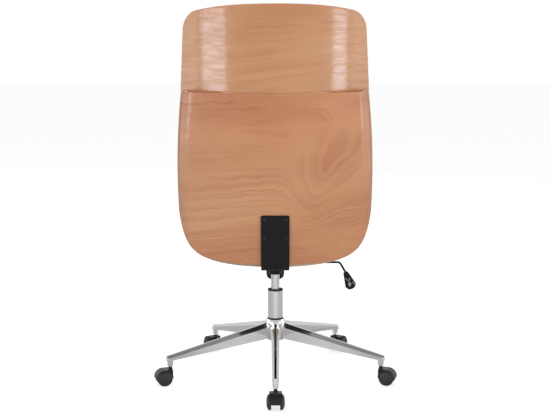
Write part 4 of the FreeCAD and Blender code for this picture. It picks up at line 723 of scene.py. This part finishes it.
def bent_panel(name, form, along, steps, seam):
    """A closed sheet of plywood: two faces with a grain map, and a rim that knows its depth.

    The row named by seam meets the other panel: its edges are rounded less, and its rim is coloured darker as
    painted shade in the seam.
    """
    bm = bmesh.new()
    grain = bm.loops.layers.uv.new("grain")
    depth_layer = bm.verts.layers.float.new("depth")
    weight = bm.edges.layers.float.new("bevel_weight_edge")
    maps = {}
    skins = []
    columns = form.columns()
    for depth in (0.0, PLY):
        skin = []
        for column in columns:
            low, high = form.low_edge(column), form.high_edge(column)
            rows = []
            for k in range(steps + 1):
                height = low + (high - low) * k / steps
                vert = bm.verts.new(form.point(column, height, depth))
                vert[depth_layer] = depth
                maps[vert] = (along(column, height) * MM, height * MM)
                rows.append(vert)
            skin.append(rows)
        skins.append(skin)
    count = len(columns)
    for skin in skins:
        for i in range(count - 1):
            for k in range(steps):
                bm.faces.new((skin[i][k], skin[i + 1][k], skin[i + 1][k + 1], skin[i][k + 1]))
    outer, inner = skins
    for (i, k), (j, m) in rim_steps(count - 1, steps):
        face = bm.faces.new((outer[i][k], outer[j][m], inner[j][m], inner[i][k]))
        face.material_index = 2 if k == m == seam else 1
        for pair in ((outer[i][k], outer[j][m]), (inner[i][k], inner[j][m])):
            bm.edges.get(pair)[weight] = SEAM_SHARE if k == m == seam else 1.0
    for face in bm.faces:
        for loop in face.loops:
            loop[grain].uv = maps[loop.vert]
    return bevelled(from_bmesh(name, bm), RIM_ROUND, 4, limit="WEIGHT", material=1)


back_shell = bent_panel("back_shell_veneered", lower_back, lambda s, z: s, steps=48, seam=48)
finish_piece(back_shell, "seat_and_back", [back_veneer, panel_edge, seam_shade_edge], ["back_shell"], "veneer", 50)
head_shell = bent_panel(
    "head_panel_veneered", head_panel, lambda share, z: share * head_panel.half_length(z), steps=30, seam=0
)
finish_piece(head_shell, "seat_and_back", [head_veneer, panel_edge, seam_shade_edge], ["head_panel"], "veneer", 50)


# ---- Seat board


def outline_solid(name, outline, low, high):
    """A flat board from a closed outline of (x, y) points, with a depth map up its edge."""
    bm = bmesh.new()
    depth_layer = bm.verts.layers.float.new("depth")
    rings = []
    for level in (low, high):
        ring = []
        for x, y in outline:
            vert = bm.verts.new((x * MM, y * MM, level * MM))
            vert[depth_layer] = level - low
            ring.append(vert)
        rings.append(ring)
    bm.faces.new(rings[0]).material_index = 1
    bm.faces.new(rings[1])
    bridge(bm, *rings)
    return from_bmesh(name, bm)


BOARD_LOW, BOARD_HIGH = 417.0, 431.0
BOARD_CENTRE, BOARD_RADIUS, BOARD_FRONT, BOARD_CORNER = 3.6, 240.0, -235.0, 60.0


def board_outline():
    """Half round behind, square with round corners in front."""
    rear = [math.pi * k / 48 for k in range(49)]
    points = [(BOARD_RADIUS * math.cos(turn), BOARD_CENTRE + BOARD_RADIUS * math.sin(turn)) for turn in rear]
    aside, ahead = BOARD_RADIUS - BOARD_CORNER, BOARD_FRONT + BOARD_CORNER
    quarter = [math.pi / 2 * k / 12 for k in range(13)]
    arc = [(aside + BOARD_CORNER * math.cos(turn), ahead - BOARD_CORNER * math.sin(turn)) for turn in quarter]
    return points + [(-x, y) for x, y in arc] + arc[::-1]


seat_board = outline_solid("seat_board_ply", board_outline(), BOARD_LOW, BOARD_HIGH)
bevelled(seat_board, 1.8, 3, angle=60)
finish_piece(seat_board, "seat_and_back", [board_edge, lining], ["seat_board"], "plywood", 40)


# ---- Cushions


SEATED = "seat_and_back"
CLOTH = {
    "quality": 5,
    "mass": 0.3,
    "tension_stiffness": 18,
    "compression_stiffness": 18,
    "shear_stiffness": 6,
    "bending_stiffness": 0.6,
    "use_pressure": True,
    "uniform_pressure_force": 4.0,
    "vertex_group_mass": "held",
}
CLOTH_FRAMES, RELAX_ROUNDS = 20, 2


def puffed(obj, voxel, cap, pinned):
    """Swells a closed form as a stuffed cover: remeshed evenly, blown up as cloth, held within a cap."""
    remesh = obj.modifiers.new("even", "REMESH")
    remesh.mode = "VOXEL"
    remesh.voxel_size = voxel * MM
    settle(obj)
    rest = [v.co.copy() for v in obj.data.vertices]
    group = obj.vertex_groups.new(name="held")
    group.add([v.index for v in obj.data.vertices if pinned(v.co)], 1.0, "REPLACE")
    cloth = obj.modifiers.new("cloth", "CLOTH")
    for key, value in CLOTH.items():
        setattr(cloth.settings, key, value)
    cloth.settings.effector_weights.gravity = 0
    cloth.collision_settings.use_collision = False
    for step in range(1, CLOTH_FRAMES + 1):
        scene.frame_set(step)
    settle(obj)
    for vert, start in zip(obj.data.vertices, rest):
        move = vert.co - start
        if move.length > cap * MM:
            vert.co = start + move.normalized() * cap * MM
    scene.frame_set(1)
    relax = obj.modifiers.new("relax", "SMOOTH")
    relax.factor = 0.5
    relax.iterations = RELAX_ROUNDS
    finer = obj.modifiers.new("finer", "SUBSURF")
    finer.levels = 1
    finer.render_levels = 1
    settle(obj)
    return obj


def blob_between(name, columns, rows, skin):
    """A closed form from a front and a rear grid, given by skin(column, row, front), joined at the rim."""
    bm = bmesh.new()
    front, rear = ([[bm.verts.new(skin(c, r, side)) for r in rows] for c in columns] for side in (1.0, 0.0))
    last_i, last_k = len(columns) - 1, len(rows) - 1
    for i in range(last_i):
        for k in range(last_k):
            bm.faces.new((front[i][k], front[i + 1][k], front[i + 1][k + 1], front[i][k + 1]))
            bm.faces.new((rear[i][k], rear[i][k + 1], rear[i + 1][k + 1], rear[i + 1][k]))
    for (i, k), (j, m) in rim_steps(last_i, last_k):
        bm.faces.new((front[i][k], front[j][m], rear[j][m], rear[i][k]))
    return from_bmesh(name, bm)


def spaced(steps):
    return [math.sin(math.pi / 2 * (2 * k / steps - 1)) for k in range(steps + 1)]


STITCH_PITCH, STITCH_LENGTH, STITCH_RADIUS = 6.5, 4.6, 0.45


def stitches(name, line):
    """Short thread lengths along a line of (place, normal) pairs, standing slightly proud."""
    travelled, next_start = 0.0, STITCH_PITCH / 2
    samples = []
    for (a, an), (b, bn) in zip(line, line[1:]):
        run = (b - a).length / MM
        while next_start < travelled + run:
            share = (next_start - travelled) / run
            samples.append((a.lerp(b, share), an.lerp(bn, share).normalized(), (b - a).normalized()))
            next_start += STITCH_PITCH
        travelled += run
    bm = bmesh.new()
    turns = [math.pi / 3 * m for m in range(6)]
    for place, normal, forward in samples:
        side = normal.cross(forward).normalized()
        rings = []
        for k in range(5):
            t = k / 4 - 0.5
            lift = 0.35 * math.cos(math.pi * t) - 0.15
            point = place + forward * STITCH_LENGTH * t * MM + normal * lift * MM
            thick = STITCH_RADIUS * (0.55 if k in (0, 4) else 1.0)
            outs = [side * math.cos(turn) + normal * math.sin(turn) for turn in turns]
            rings.append([bm.verts.new(point + out * thick * MM) for out in outs])
        for low, high in zip(rings, rings[1:]):
            bridge(bm, low, high)
        bm.faces.new(rings[0][::-1])
        bm.faces.new(rings[-1])
    finish_piece(from_bmesh(name, bm), SEATED, [thread], slot="upholstery", sharp=60)


def thread_row(name, tree, points, direction, facing):
    """Stitches where a needle from these points meets the cover, as far as the cover faces it."""
    line = []
    for point in points:
        hit, normal, _, _ = tree.ray_cast(point, direction)
        if hit is None:
            hit, normal, _, _ = tree.find_nearest(point)
        if normal.dot(direction) > 0:
            normal = -normal
        if -normal.dot(direction) > facing:
            line.append((hit, normal))
    stitches(name, line)


def relaxed(ring, rounds):
    """A closed line with its small kinks averaged out."""
    points = [p.copy() for p in ring]
    count = len(points)
    for _ in range(rounds):
        points = [(points[k - 1] + points[k] * 2 + points[(k + 1) % count]) / 4 for k in range(count)]
    return points


def welt_along(name, tree, spots, out, radius, rounds):
    """A welt along the points of a surface that lie nearest to a closed line of spots."""
    ring = []
    for spot in spots:
        hit, normal, _, _ = tree.find_nearest(spot)
        ring.append(hit + normal * out * MM)
    piece = closed_tube(name, relaxed(ring, rounds), radius)
    finish_piece(piece, SEATED, [welt], slot="upholstery", sharp=60)


def surface_tree(obj):
    bm = bmesh.new()
    bm.from_mesh(obj.data)
    tree = BVHTree.FromBMesh(bm)
    bm.free()
    return tree


# ---- Seat cushion: three sewn channels across it, a welt round the top, a boxed side


def rounded_outline(half, rear, front, rear_round, front_round, steps=14):
    """A closed plan outline, counter-clockwise from the rear right."""
    points = []
    corners = (
        (half, rear, rear_round, 0),
        (-half, rear, rear_round, 90),
        (-half, front, front_round, 180),
        (half, front, front_round, 270),
    )
    for x, y, radius, first in corners:
        cx, cy = x - math.copysign(radius, x), y - math.copysign(radius, y)
        for k in range(steps + 1):
            turn = math.radians(first + 90 * k / steps)
            points.append((cx + radius * math.cos(turn), cy + radius * math.sin(turn)))
    return points


SEAT_HALF, SEAT_REAR, SEAT_FRONT = 255, 235, -265
SEAT_REAR_ROUND, SEAT_FRONT_ROUND = 150, 75
SEAT_FOOT, SEAT_SEAMS = 432.8, (-95.0, 20.0, 130.0)
# Heights over the foot, and how far the cover stands in from the seat's outline there
SEAT_RINGS = (
    (0.0, 22.0), (6.0, 14.0), (20.0, 9.0), (44.0, 9.0), (58.0, 12.0),
    (64.0, 18.0), (68.0, 30.0), (71.5, 60.0), (74.0, 110.0), (75.5, 170.0),
)
SEAM_REACH, PUCKER = 60, 0.35


def seat_outline(inset, height):
    """The seat's plan, drawn in by an inset, at a height over its foot."""
    rounds = max(SEAT_REAR_ROUND - inset, 20), max(SEAT_FRONT_ROUND - inset, 15)
    outline = rounded_outline(SEAT_HALF - inset, SEAT_REAR - inset, SEAT_FRONT + inset, *rounds)
    return [Vector((x * MM, y * MM, (SEAT_FOOT + height) * MM)) for x, y in outline]


def furrow(away, deep, wide, slack, soft):
    """How far a seam draws the cover in at a distance: a narrow groove in a wide hollow."""
    if abs(away) >= SEAM_REACH:
        return 0.0
    return deep * math.exp(-((away / wide) ** 2)) + slack * math.exp(-((away / soft) ** 2))


def seat_cushion():
    bm = bmesh.new()
    loops = [[bm.verts.new(point) for point in seat_outline(inset, height)] for height, inset in SEAT_RINGS]
    for low, high in zip(loops, loops[1:]):
        bridge(bm, low, high)
    bm.faces.new(loops[0][::-1])
    bm.faces.new(loops[-1])
    bmesh.ops.triangulate(bm, faces=[f for f in bm.faces if len(f.verts) > 4])
    obj = from_bmesh("seat_cushion_cover", bm)
    puffed(obj, 5.5, 9.0, lambda co: co.z < (SEAT_FOOT + 5) * MM)
    seams_from, seams_full = 40, 60
    for vert in obj.data.vertices:
        co = vert.co
        height = co.z / MM - SEAT_FOOT
        if height > seams_from:
            share = min((height - seams_from) / (seams_full - seams_from), 1)
            for seam in SEAT_SEAMS:
                pull = furrow(co.y / MM - seam, 8.5, 7.5, 3.0, 24.0)
                if pull:
                    co.z -= pull * (1 + PUCKER * wavy(co, 42.0, seam)) * MM * share
            co.z += 0.9 * wavy(co, 9.0, 4.0) * MM
        co.x += 0.5 * wavy(co, 14.0, 9.0) * MM
    obj.data.update()
    return obj


seat_cover = seat_cushion()
finish_piece(seat_cover, SEATED, [cover], ["seat_cushion"], "upholstery", 70)


def seat_trim():
    """The welts round the seat, and the thread on both sides of its seams."""
    tree = surface_tree(seat_cover)
    for name, height, inset in (("seat_welt_top", 60.0, 9.0), ("seat_welt_foot", 9.0, 11.0)):
        welt_along(name, tree, seat_outline(inset, height), 1.0, 2.6, 3)
    aside, above = 10.0, 0.60
    for number, seam in enumerate(SEAT_SEAMS, 1):
        for side, label in ((-1, "front"), (1, "rear")):
            y = (seam + side * aside) * MM
            starts = [Vector(((-225 + 450 * k / 60) * MM, y, above)) for k in range(61)]
            thread_row(f"seat_thread_{number}_{label}", tree, starts, Vector((0, 0, -1)), 0.5)


seat_trim()


# ---- Back, head and arm pads


def pad_form(name, shape, rear_depth, thickness, edge, steps, power=4.0):
    """A pad on a bent panel: flat behind, rounded at its rim, full in the middle."""
    point, low_edge, high_edge = shape

    def skin(across, up, front):
        low, high = low_edge(across), high_edge(across)
        height = (low + high) / 2 + (high - low) / 2 * up
        full = math.sqrt(max(1 - abs(across) ** power, 0)) * math.sqrt(max(1 - abs(up) ** power, 0))
        depth = rear_depth + (edge + (thickness - edge) * full) * front
        return point(across, height, depth)

    return blob_between(name, spaced(steps[0]), spaced(steps[1]), skin)


BACK_HALF, BACK_SHARE = 280.0, 0.985
BACK_LOW, BACK_HIGH = SHELL_LOW + 96.0, SHELL_HIGH - 14.0
BACK_SEAMS, HEAD_SEAMS = (640.0, 745.0, 850.0), (1095.0,)
HEAD_PAD_LOW, HEAD_MARGIN = HEAD_LOW + 12, 22.0
COVER_GAP = 3
SEAM_HALF, SEAM_FADE, FRONT_BLEND = 262, 30, 18


def back_point(share, height, depth):
    return lower_back.point(share * BACK_HALF * BACK_SHARE, height, depth)


def back_low(share):
    corner = lower_back.low_edge(share * BACK_HALF) - SHELL_LOW
    return BACK_LOW + COVER_GAP + corner * abs(share)


def head_point(share, height, depth):
    return head_panel.point(share * (1 - HEAD_MARGIN / head_panel.half_top), height, depth)


def head_pad_high(share):
    return head_panel.high_edge(share * 0.97, HEAD_MARGIN)


BACK_PAD = back_point, back_low, lambda share: BACK_HIGH - COVER_GAP
HEAD_PAD = head_point, lambda share: HEAD_PAD_LOW, head_pad_high


def sewn_pad(label, shape, thickness, edge, rows, panel, seams):
    """A cushion on a panel, drawn in along level seams."""
    obj = pad_form(f"{label}_cushion_cover", shape, PAD_DEPTH, thickness, edge, (30, rows))
    puffed(obj, 5.5, 7.0, lambda co: co.y > panel.pad_back(co) + 8 * MM)
    for vert in obj.data.vertices:
        co = vert.co.copy()
        front = min(max((panel.pad_back(co) - co.y) / (FRONT_BLEND * MM), 0), 1)
        share = front * min(max((SEAM_HALF - abs(co.x) / MM) / SEAM_FADE, 0), 1)
        if share <= 0:
            continue
        pull = sum(furrow(co.z / MM - seam, 8.0, 7.0, 2.8, 22.0) for seam in seams)
        pull *= 1 + PUCKER * wavy(co, 40.0, 2.0)
        vert.co = co + Vector((0, 1, 0)) * pull * share * MM
    obj.data.update()
    return finish_piece(obj, SEATED, [cover], [f"{label}_cushion"], "upholstery", 70)


back_cover = sewn_pad("back", BACK_PAD, 49.0, 12.0, 26, lower_back, BACK_SEAMS)
head_cover = sewn_pad("head", HEAD_PAD, 40.0, 11.0, 20, head_panel, HEAD_SEAMS)


def seam_threads(tag, obj, seams, half):
    """Thread above and below each seam of a cushion, 6 mm from it."""
    tree = surface_tree(obj)
    aside, ahead = 6.0, -0.2
    for number, seam in enumerate(seams, 1):
        for side, label in ((-1, "lower"), (1, "upper")):
            z = (seam + side * aside) * MM
            starts = [Vector(((-half + 2 * half * k / 70) * MM, ahead, z)) for k in range(71)]
            thread_row(f"{tag}_thread_{number}_{label}", tree, starts, Vector((0, 1, 0)), 0.6)


seam_threads("back", back_cover, BACK_SEAMS, 230)
seam_threads("head", head_cover, HEAD_SEAMS, 225)

WELT_STEPS, WELT_SHARE, WELT_INSET = 40, 0.985, 4


def pad_welt(name, obj, shape, depth):
    """A welt round a pad, where its front meets its side."""
    point, low_edge, high_edge = shape
    shares = [WELT_SHARE * (2 * k / WELT_STEPS - 1) for k in range(WELT_STEPS + 1)]
    low, high = low_edge(WELT_SHARE) + WELT_INSET, high_edge(WELT_SHARE) - WELT_INSET
    line = [point(share, low_edge(share) + WELT_INSET, depth) for share in shares]
    line += [point(WELT_SHARE, low + (high - low) * k / 24, depth) for k in range(1, 24)]
    line += [point(share, high_edge(share) - WELT_INSET, depth) for share in reversed(shares)]
    line += [point(-WELT_SHARE, high + (low - high) * k / 24, depth) for k in range(1, 24)]
    welt_along(name, surface_tree(obj), line, 0.9, 2.4, 4)


pad_welt("back_welt", back_cover, BACK_PAD, PAD_DEPTH + 15)
pad_welt("head_welt", head_cover, HEAD_PAD, PAD_DEPTH + 14)

ARM_START = lower_back.limb + lower_back.sweep_start + lower_back.sweep_length / 2
ARM_END = lower_back.end - 24.0
ARM_MIDDLE, ARM_HALF = (ARM_START + ARM_END) / 2, (ARM_END - ARM_START) / 2
ARM_LOW, ARM_HIGH = SHELL_LOW + 182.0, SHELL_LOW + 265.0
ARM_ROUND, ARM_INNER = 22.0, 289.0


def arm_edge(share, base, sign):
    """An arm pad's upper or lower edge, with round corners."""
    into = abs(share) * ARM_HALF - (ARM_HALF - ARM_ROUND)
    if into <= 0:
        return base
    return base - sign * (ARM_ROUND - math.sqrt(max(ARM_ROUND * ARM_ROUND - into * into, 0)))


def arm_pad(label, side):
    def point(share, height, depth):
        return lower_back.point(side * (ARM_MIDDLE + share * ARM_HALF), height, depth)

    shape = point, lambda share: arm_edge(share, ARM_LOW, -1), lambda share: arm_edge(share, ARM_HIGH, 1)
    pad = pad_form(f"arm_pad_{label}_cover", shape, 12.3, 18.0, 6.0, (26, 16), 3.0)
    puffed(pad, 3.5, 4.0, lambda co: abs(co.x) > ARM_INNER * MM - 3 * MM)
    finish_piece(pad, SEATED, [cover], [f"arm_pad_{label}"], "upholstery", 70)


arm_pad("left", 1)
arm_pad("right", -1)


# ---- Star base


SHOULDER_ROUND, RIDGE_SHARE = 4.6, 0.35
LONG_EDGE, FACING_UP, SHALLOW = 0.15, 0.2, math.radians(12)


def star_form():
    """The star base: first the long ridges and shoulders of its arms are rounded, then its other edges.

    Only edges of two faces that meet at more than SHALLOW count.
    """
    bm = joined_faces("star_base")
    weight = bm.edges.layers.float.new("bevel_weight_edge")
    for edge in bm.edges:
        if len(edge.link_faces) != 2 or edge.calc_face_angle() < SHALLOW:
            continue
        long = edge.calc_length() > LONG_EDGE and edge.is_convex
        normals = [face.normal.z for face in edge.link_faces]
        if long and max(normals) > FACING_UP:
            edge[weight] = RIDGE_SHARE if min(normals) > FACING_UP else 1.0
    obj = from_bmesh("star_base_polished", bm)
    bevelled(obj, SHOULDER_ROUND, 6, limit="WEIGHT", clamp=False)
    return bevelled(obj, 0.8, 2, angle=24)


finish_piece(star_form(), "base", [polished], ["star_base"], "polished_metal", 24)


# ---- Casters


# A wheel's section, from its bore over the rim to the domed cap: radius, place along the axle, rounding
WHEEL_SECTION = (
    (3.05, 10.0, 0), (3.05, 0.0, 0), (9.0, 0.0, 0.6), (9.6, 1.6, 0.6), (20.0, 1.6, 0.6),
    (20.6, 0.0, 0.6), (24.2, 0.0, 0.9), (25.0, 0.9, 0.5), (25.0, 6.0, 1.4), (24.1, 8.0, 1.6),
    (22.3, 10.3, 1.0), (21.5, 10.9, 0.5), (21.2, 10.2, 0.3), (20.7, 10.2, 0.3), (20.3, 11.5, 0.6),
    (16.5, 13.2, 2.0), (12.0, 14.3, 2.0), (6.0, 14.85, 2.0), (0.0, 15.0, 0),
)
WHEEL_RADIUS, WHEEL_REACH, WHEEL_ASIDE = 25.0, 382.7, 13.5
ARMS = 5


def wheel(index, side, turn):
    """One of a caster's two wheels, turned about Z and laid on its axle."""
    node = f"caster_wheel_{index + 1}_{side}"
    obj = lathe(f"{node}_turned", rounded_profile(WHEEL_SECTION), 96)
    spin = Matrix.Rotation(math.radians(360 / ARMS * index), 4, "Z")
    place = Matrix.Translation((turn * WHEEL_ASIDE * MM, WHEEL_REACH * MM, WHEEL_RADIUS * MM))
    obj.data.transform(spin @ place @ Matrix.Rotation(math.radians(90 * turn), 4, "Y"))
    return finish_piece(obj, f"wheel_{index + 1}_{side}", [wheel_plastic], [node], "wheel_plastic", 40)


for arm in range(ARMS):
    wheel(arm, "a", 1)
    wheel(arm, "b", -1)
    hood = eased_copy(f"caster_hood_{arm + 1}", 0.9, 3, f"caster_hood_{arm + 1}_moulded", 30)
    finish_piece(hood, f"caster_{arm + 1}", [hood_plastic], [f"caster_hood_{arm + 1}"], "hood_plastic", 40)


# ---- Lift column, mechanism, lever and bracket: the solids with eased edges

EASED = (
    ("gas_outer_tube", "base", chrome, 0.5, "chrome"),
    ("gas_guide_bush", "base", black_plastic, 0.4, "black_plastic"),
    ("gas_inner_tube", "mechanism", chrome, 0.4, "chrome"),
    ("mechanism_tray", "mechanism", black_paint, 0.7, "black_paint"),
    ("tilt_shaft", "mechanism", zinc, 0.5, "steel"),
    ("seat_plate", "seat_and_back", black_paint, 0.6, "black_paint"),
    ("tension_bolt", "seat_and_back", zinc, 0.5, "steel"),
    ("tension_knob", "tension_knob", knob_plastic, 0.9, "black_plastic"),
    ("lever_paddle", "lever", black_plastic, 1.0, "black_plastic"),
    ("lever_bush", "lever_pivot", black_plastic, 0.3, "black_plastic"),
    ("back_bracket", "seat_and_back", black_paint, 0.7, "black_paint"),
    ("back_strap", "seat_and_back", black_paint, 0.5, "black_paint"),
    ("seat_bolts", "seat_and_back", zinc, 0.4, "steel"),
)
for node, body, material, width, slot_name in EASED:
    finish_piece(eased_copy(node, width), body, [material], [node], slot_name, 35)


# The dark ring that the photograph shows around the foot of the column: a black ring standing as painted
# shade for the dark gap where the column enters the hub
FOOT_SHADE_RING = ((24.9, 193.2), (25.7, 193.2), (25.7, 197.6), (25.4, 198.4), (24.9, 198.6))
foot_shade_ring = lathe("column_foot_shade_ring", FOOT_SHADE_RING, closed=True)
finish_piece(foot_shade_ring, "base", [black_plastic], slot="black_plastic", sharp=30)


# The sign's outlines as (across, down) on the grip: a chevron, a filled drop and a short hooked line
SIGN_SHAPES = (
    ((-9.0, 17.5), (-7.6, 16.0), (0.1, 28.0), (7.0, 21.3), (8.6, 22.6), (0.3, 32.0), (-1.2, 31.6)),
    (
        (0.6, 33.6), (3.3, 38.5), (3.6, 42.5), (0.6, 46.2),
        (-4.6, 50.8), (-6.4, 45.6), (-6.6, 40.6), (-3.4, 36.4),
    ),
    (
        (6.6, 40.6), (9.8, 37.9), (13.6, 38.2), (15.4, 41.6), (14.4, 46.0), (10.6, 49.4),
        (9.7, 47.9), (12.4, 45.2), (13.2, 42.0), (12.2, 40.0), (9.9, 39.8), (7.6, 42.0),
    ),
)
SIGN_FOOT, SIGN_LEAN, SIGN_LEVELS = (-232.0, 5.5, 348.3), math.radians(22), (-0.3, 0.16)


def paddle_sign():
    """A thin raised sign on the grip, seen from behind."""
    sin, cos = math.sin(SIGN_LEAN), math.cos(SIGN_LEAN)
    foot, side, down = Vector(SIGN_FOOT), Vector((-cos, 0, sin)), Vector((-sin, 0, -cos))
    bm = bmesh.new()
    for shape in SIGN_SHAPES:
        rings = []
        for lift in SIGN_LEVELS:
            points = [foot + side * across + down * along + Vector((0, lift, 0)) for across, along in shape]
            rings.append([bm.verts.new(point * MM) for point in points])
        bridge(bm, *rings)
        bm.faces.new(rings[0][::-1])
        bm.faces.new(rings[1])
    bmesh.ops.triangulate(bm, faces=[face for face in bm.faces if len(face.verts) > 4])
    finish_piece(from_bmesh("lever_paddle_sign", bm), "lever", [sign_highlight], slot="black_plastic", sharp=30)


paddle_sign()

# Solids that keep their own mesh
KEPT = {
    "gas_release_pin": zinc,
    "gas_rod_guide": black_plastic,
    "gas_piston_rod": zinc,
    "gas_piston": zinc,
    "gas_bumper": rubber,
    "gas_thrust_bearing": zinc,
    "gas_bottom_clip": zinc,
    "tension_spring": dark_steel,
    "lever_rod": black_paint,
    "seat_tee_nuts": zinc,
    "wood_screws": dark_steel,
    "back_pad_board": inner_ply,
    "head_pad_board": inner_ply,
}
for number in range(1, ARMS + 1):
    KEPT[f"caster_stem_{number}"] = dark_steel
    KEPT[f"caster_axle_{number}"] = zinc
for node, material in KEPT.items():
    mesh = nodes[node].data
    mesh.materials.clear()
    mesh.materials.append(material)


# ---- Stage: pale floor, soft light, camera where the photographer stood


def floor_surface():
    """Pale matt floor that reads as white to the camera; polished metal sees it a little paler along Y."""
    material = bpy.data.materials.new("floor_matt")
    t = Tree(material)
    path = t.node("ShaderNodeLightPath").outputs
    aim = t.split(t.vector("NORMALIZE", t.place()))
    along = t.math("POWER", t.math("ABSOLUTE", aim["Y"]), 6.0)
    paler = t.math("ADD", t.times(along, 0.26), 0.13)
    seen = t.times(path["Is Camera Ray"], 0.72)
    level = t.math("ADD", seen, t.times(paler, path["Is Glossy Ray"]))
    matt = t.node("ShaderNodeBsdfDiffuse", {"Color": (0.40, 0.40, 0.40)})
    glow = t.node("ShaderNodeEmission", {"Color": (1, 1, 1), "Strength": level})
    both = t.node("ShaderNodeAddShader", {0: matt.outputs[0], 1: glow.outputs[0]})
    t.node("ShaderNodeOutputMaterial", {"Surface": both.outputs[0]})
    return material


def card_surface(name, strength, colour):
    material = bpy.data.materials.new(name)
    t = Tree(material)
    glow = t.node("ShaderNodeEmission", {"Color": colour, "Strength": strength})
    t.node("ShaderNodeOutputMaterial", {"Surface": glow.outputs[0]})
    return material


def flat_stage(name, corners, material):
    mesh = bpy.data.meshes.new(name)
    mesh.from_pydata(corners, [], [tuple(range(len(corners)))])
    mesh.materials.append(material)
    obj = linked(name, mesh)
    return obj


FLOOR_HALF = 14
floor_corners = [(FLOOR_HALF * x, FLOOR_HALF * y, 0) for x, y in ((-1, -1), (1, -1), (1, 1), (-1, 1))]
flat_stage("floor", floor_corners, floor_surface())

CARD_DISTANCE, CARD_LOW, CARD_HIGH = 3.2, 0.02, 0.9


def light_card(name, azimuth, half_angle, strength, colour=(1, 1, 1)):
    """An upright card, shown only to reflections; azimuth 0 is straight behind the camera, + towards +X."""
    turns = [math.radians(azimuth + way * half_angle) for way in (-1, 1)]
    a, b = ((CARD_DISTANCE * math.sin(turn), CARD_DISTANCE * math.cos(turn)) for turn in turns)
    corners = [(*a, CARD_LOW), (*b, CARD_LOW), (*b, CARD_HIGH), (*a, CARD_HIGH)]
    card = flat_stage(name, corners, card_surface(f"{name}_glow", strength, colour))
    for ray in ("camera", "diffuse", "shadow", "transmission"):
        setattr(card, f"visible_{ray}", False)


light_card("window_left", 49.0, 10.0, 8.8, (0.74, 0.86, 1.0))
light_card("window_right", -52.5, 5.5, 10.2, (0.70, 0.85, 1.0))
light_card("side_left", 86.0, 22.0, 2.7)
light_card("side_right", -86.0, 22.0, 2.4)

# The brightness of the studio's sky from straight down to straight up
SKY = (
    (0.0, 0.6), (0.50, 1.0), (0.56, 0.98), (0.62, 0.80),
    (0.75, 0.56), (0.86, 0.34), (0.94, 0.22), (1.0, 0.16),
)


def studio_world():
    """The camera sees plain white; reflections see a white horizon under a darker ceiling."""
    made = bpy.data.worlds.new("studio")
    t = Tree(made)
    path = t.node("ShaderNodeLightPath").outputs
    aim = t.split(t.node("ShaderNodeTexCoord").outputs["Generated"])
    stops = [(place, (level, level, level)) for place, level in SKY]
    sky = t.ramp(t.spread(aim["Z"], -1.0, 1.0), *stops, kind="LINEAR")
    plain = t.node("ShaderNodeBackground", {"Color": (1, 1, 1), "Strength": 0.62}).outputs[0]
    white = t.node("ShaderNodeBackground", {"Color": (1, 1, 1), "Strength": 1.0}).outputs[0]
    studio = t.node("ShaderNodeBackground", {"Color": sky}).outputs[0]
    glossy = t.node("ShaderNodeMixShader", {0: path["Is Glossy Ray"], 1: plain, 2: studio}).outputs[0]
    seen = t.node("ShaderNodeMixShader", {0: path["Is Camera Ray"], 1: glossy, 2: white}).outputs[0]
    t.node("ShaderNodeOutputWorld", {"Surface": seen})
    scene.world = made


studio_world()

LAMP_WIDTH = 2.4


def soft_lamp(name, place, target, energy):
    data = bpy.data.lights.new(name, "AREA")
    data.shape = "SQUARE"
    data.size = LAMP_WIDTH
    data.energy = energy
    lamp = linked(name, data)
    lamp.location = place
    lamp.rotation_euler = (Vector(target) - Vector(place)).to_track_quat("-Z", "Y").to_euler()
    lamp.visible_camera = False
    lamp.visible_glossy = False


soft_lamp("key", (1.6, 3.4, 3.0), (0, 0, 0.8), 70)
soft_lamp("fill", (-2.2, 3.0, 1.2), (0, 0, 0.6), 46)
soft_lamp("front", (-1.0, -3.2, 2.8), (0, 0, 0.7), 62)

# The fitted camera: focal length and picture width in pixels, place in metres, angles in degrees
FOCAL, PICTURE_WIDTH, SENSOR = 1331, 550, 36
CAMERA_PLACE, PITCH, ROLL, SHIFT = (0, 4.311, 1.273), 9.25, -0.15, -0.10
view = bpy.data.cameras.new("view")
view.sensor_width = SENSOR
view.lens = FOCAL / PICTURE_WIDTH * SENSOR
view.clip_end = 60
view.shift_x = SHIFT / PICTURE_WIDTH
camera = linked("view", view)
camera.location = CAMERA_PLACE
level = Euler((math.radians(90 - PITCH), 0, math.pi)).to_matrix()
camera.rotation_euler = (level @ Matrix.Rotation(math.radians(ROLL), 3, "Z")).to_euler()
scene.camera = camera
scene.view_settings.view_transform = "Standard"
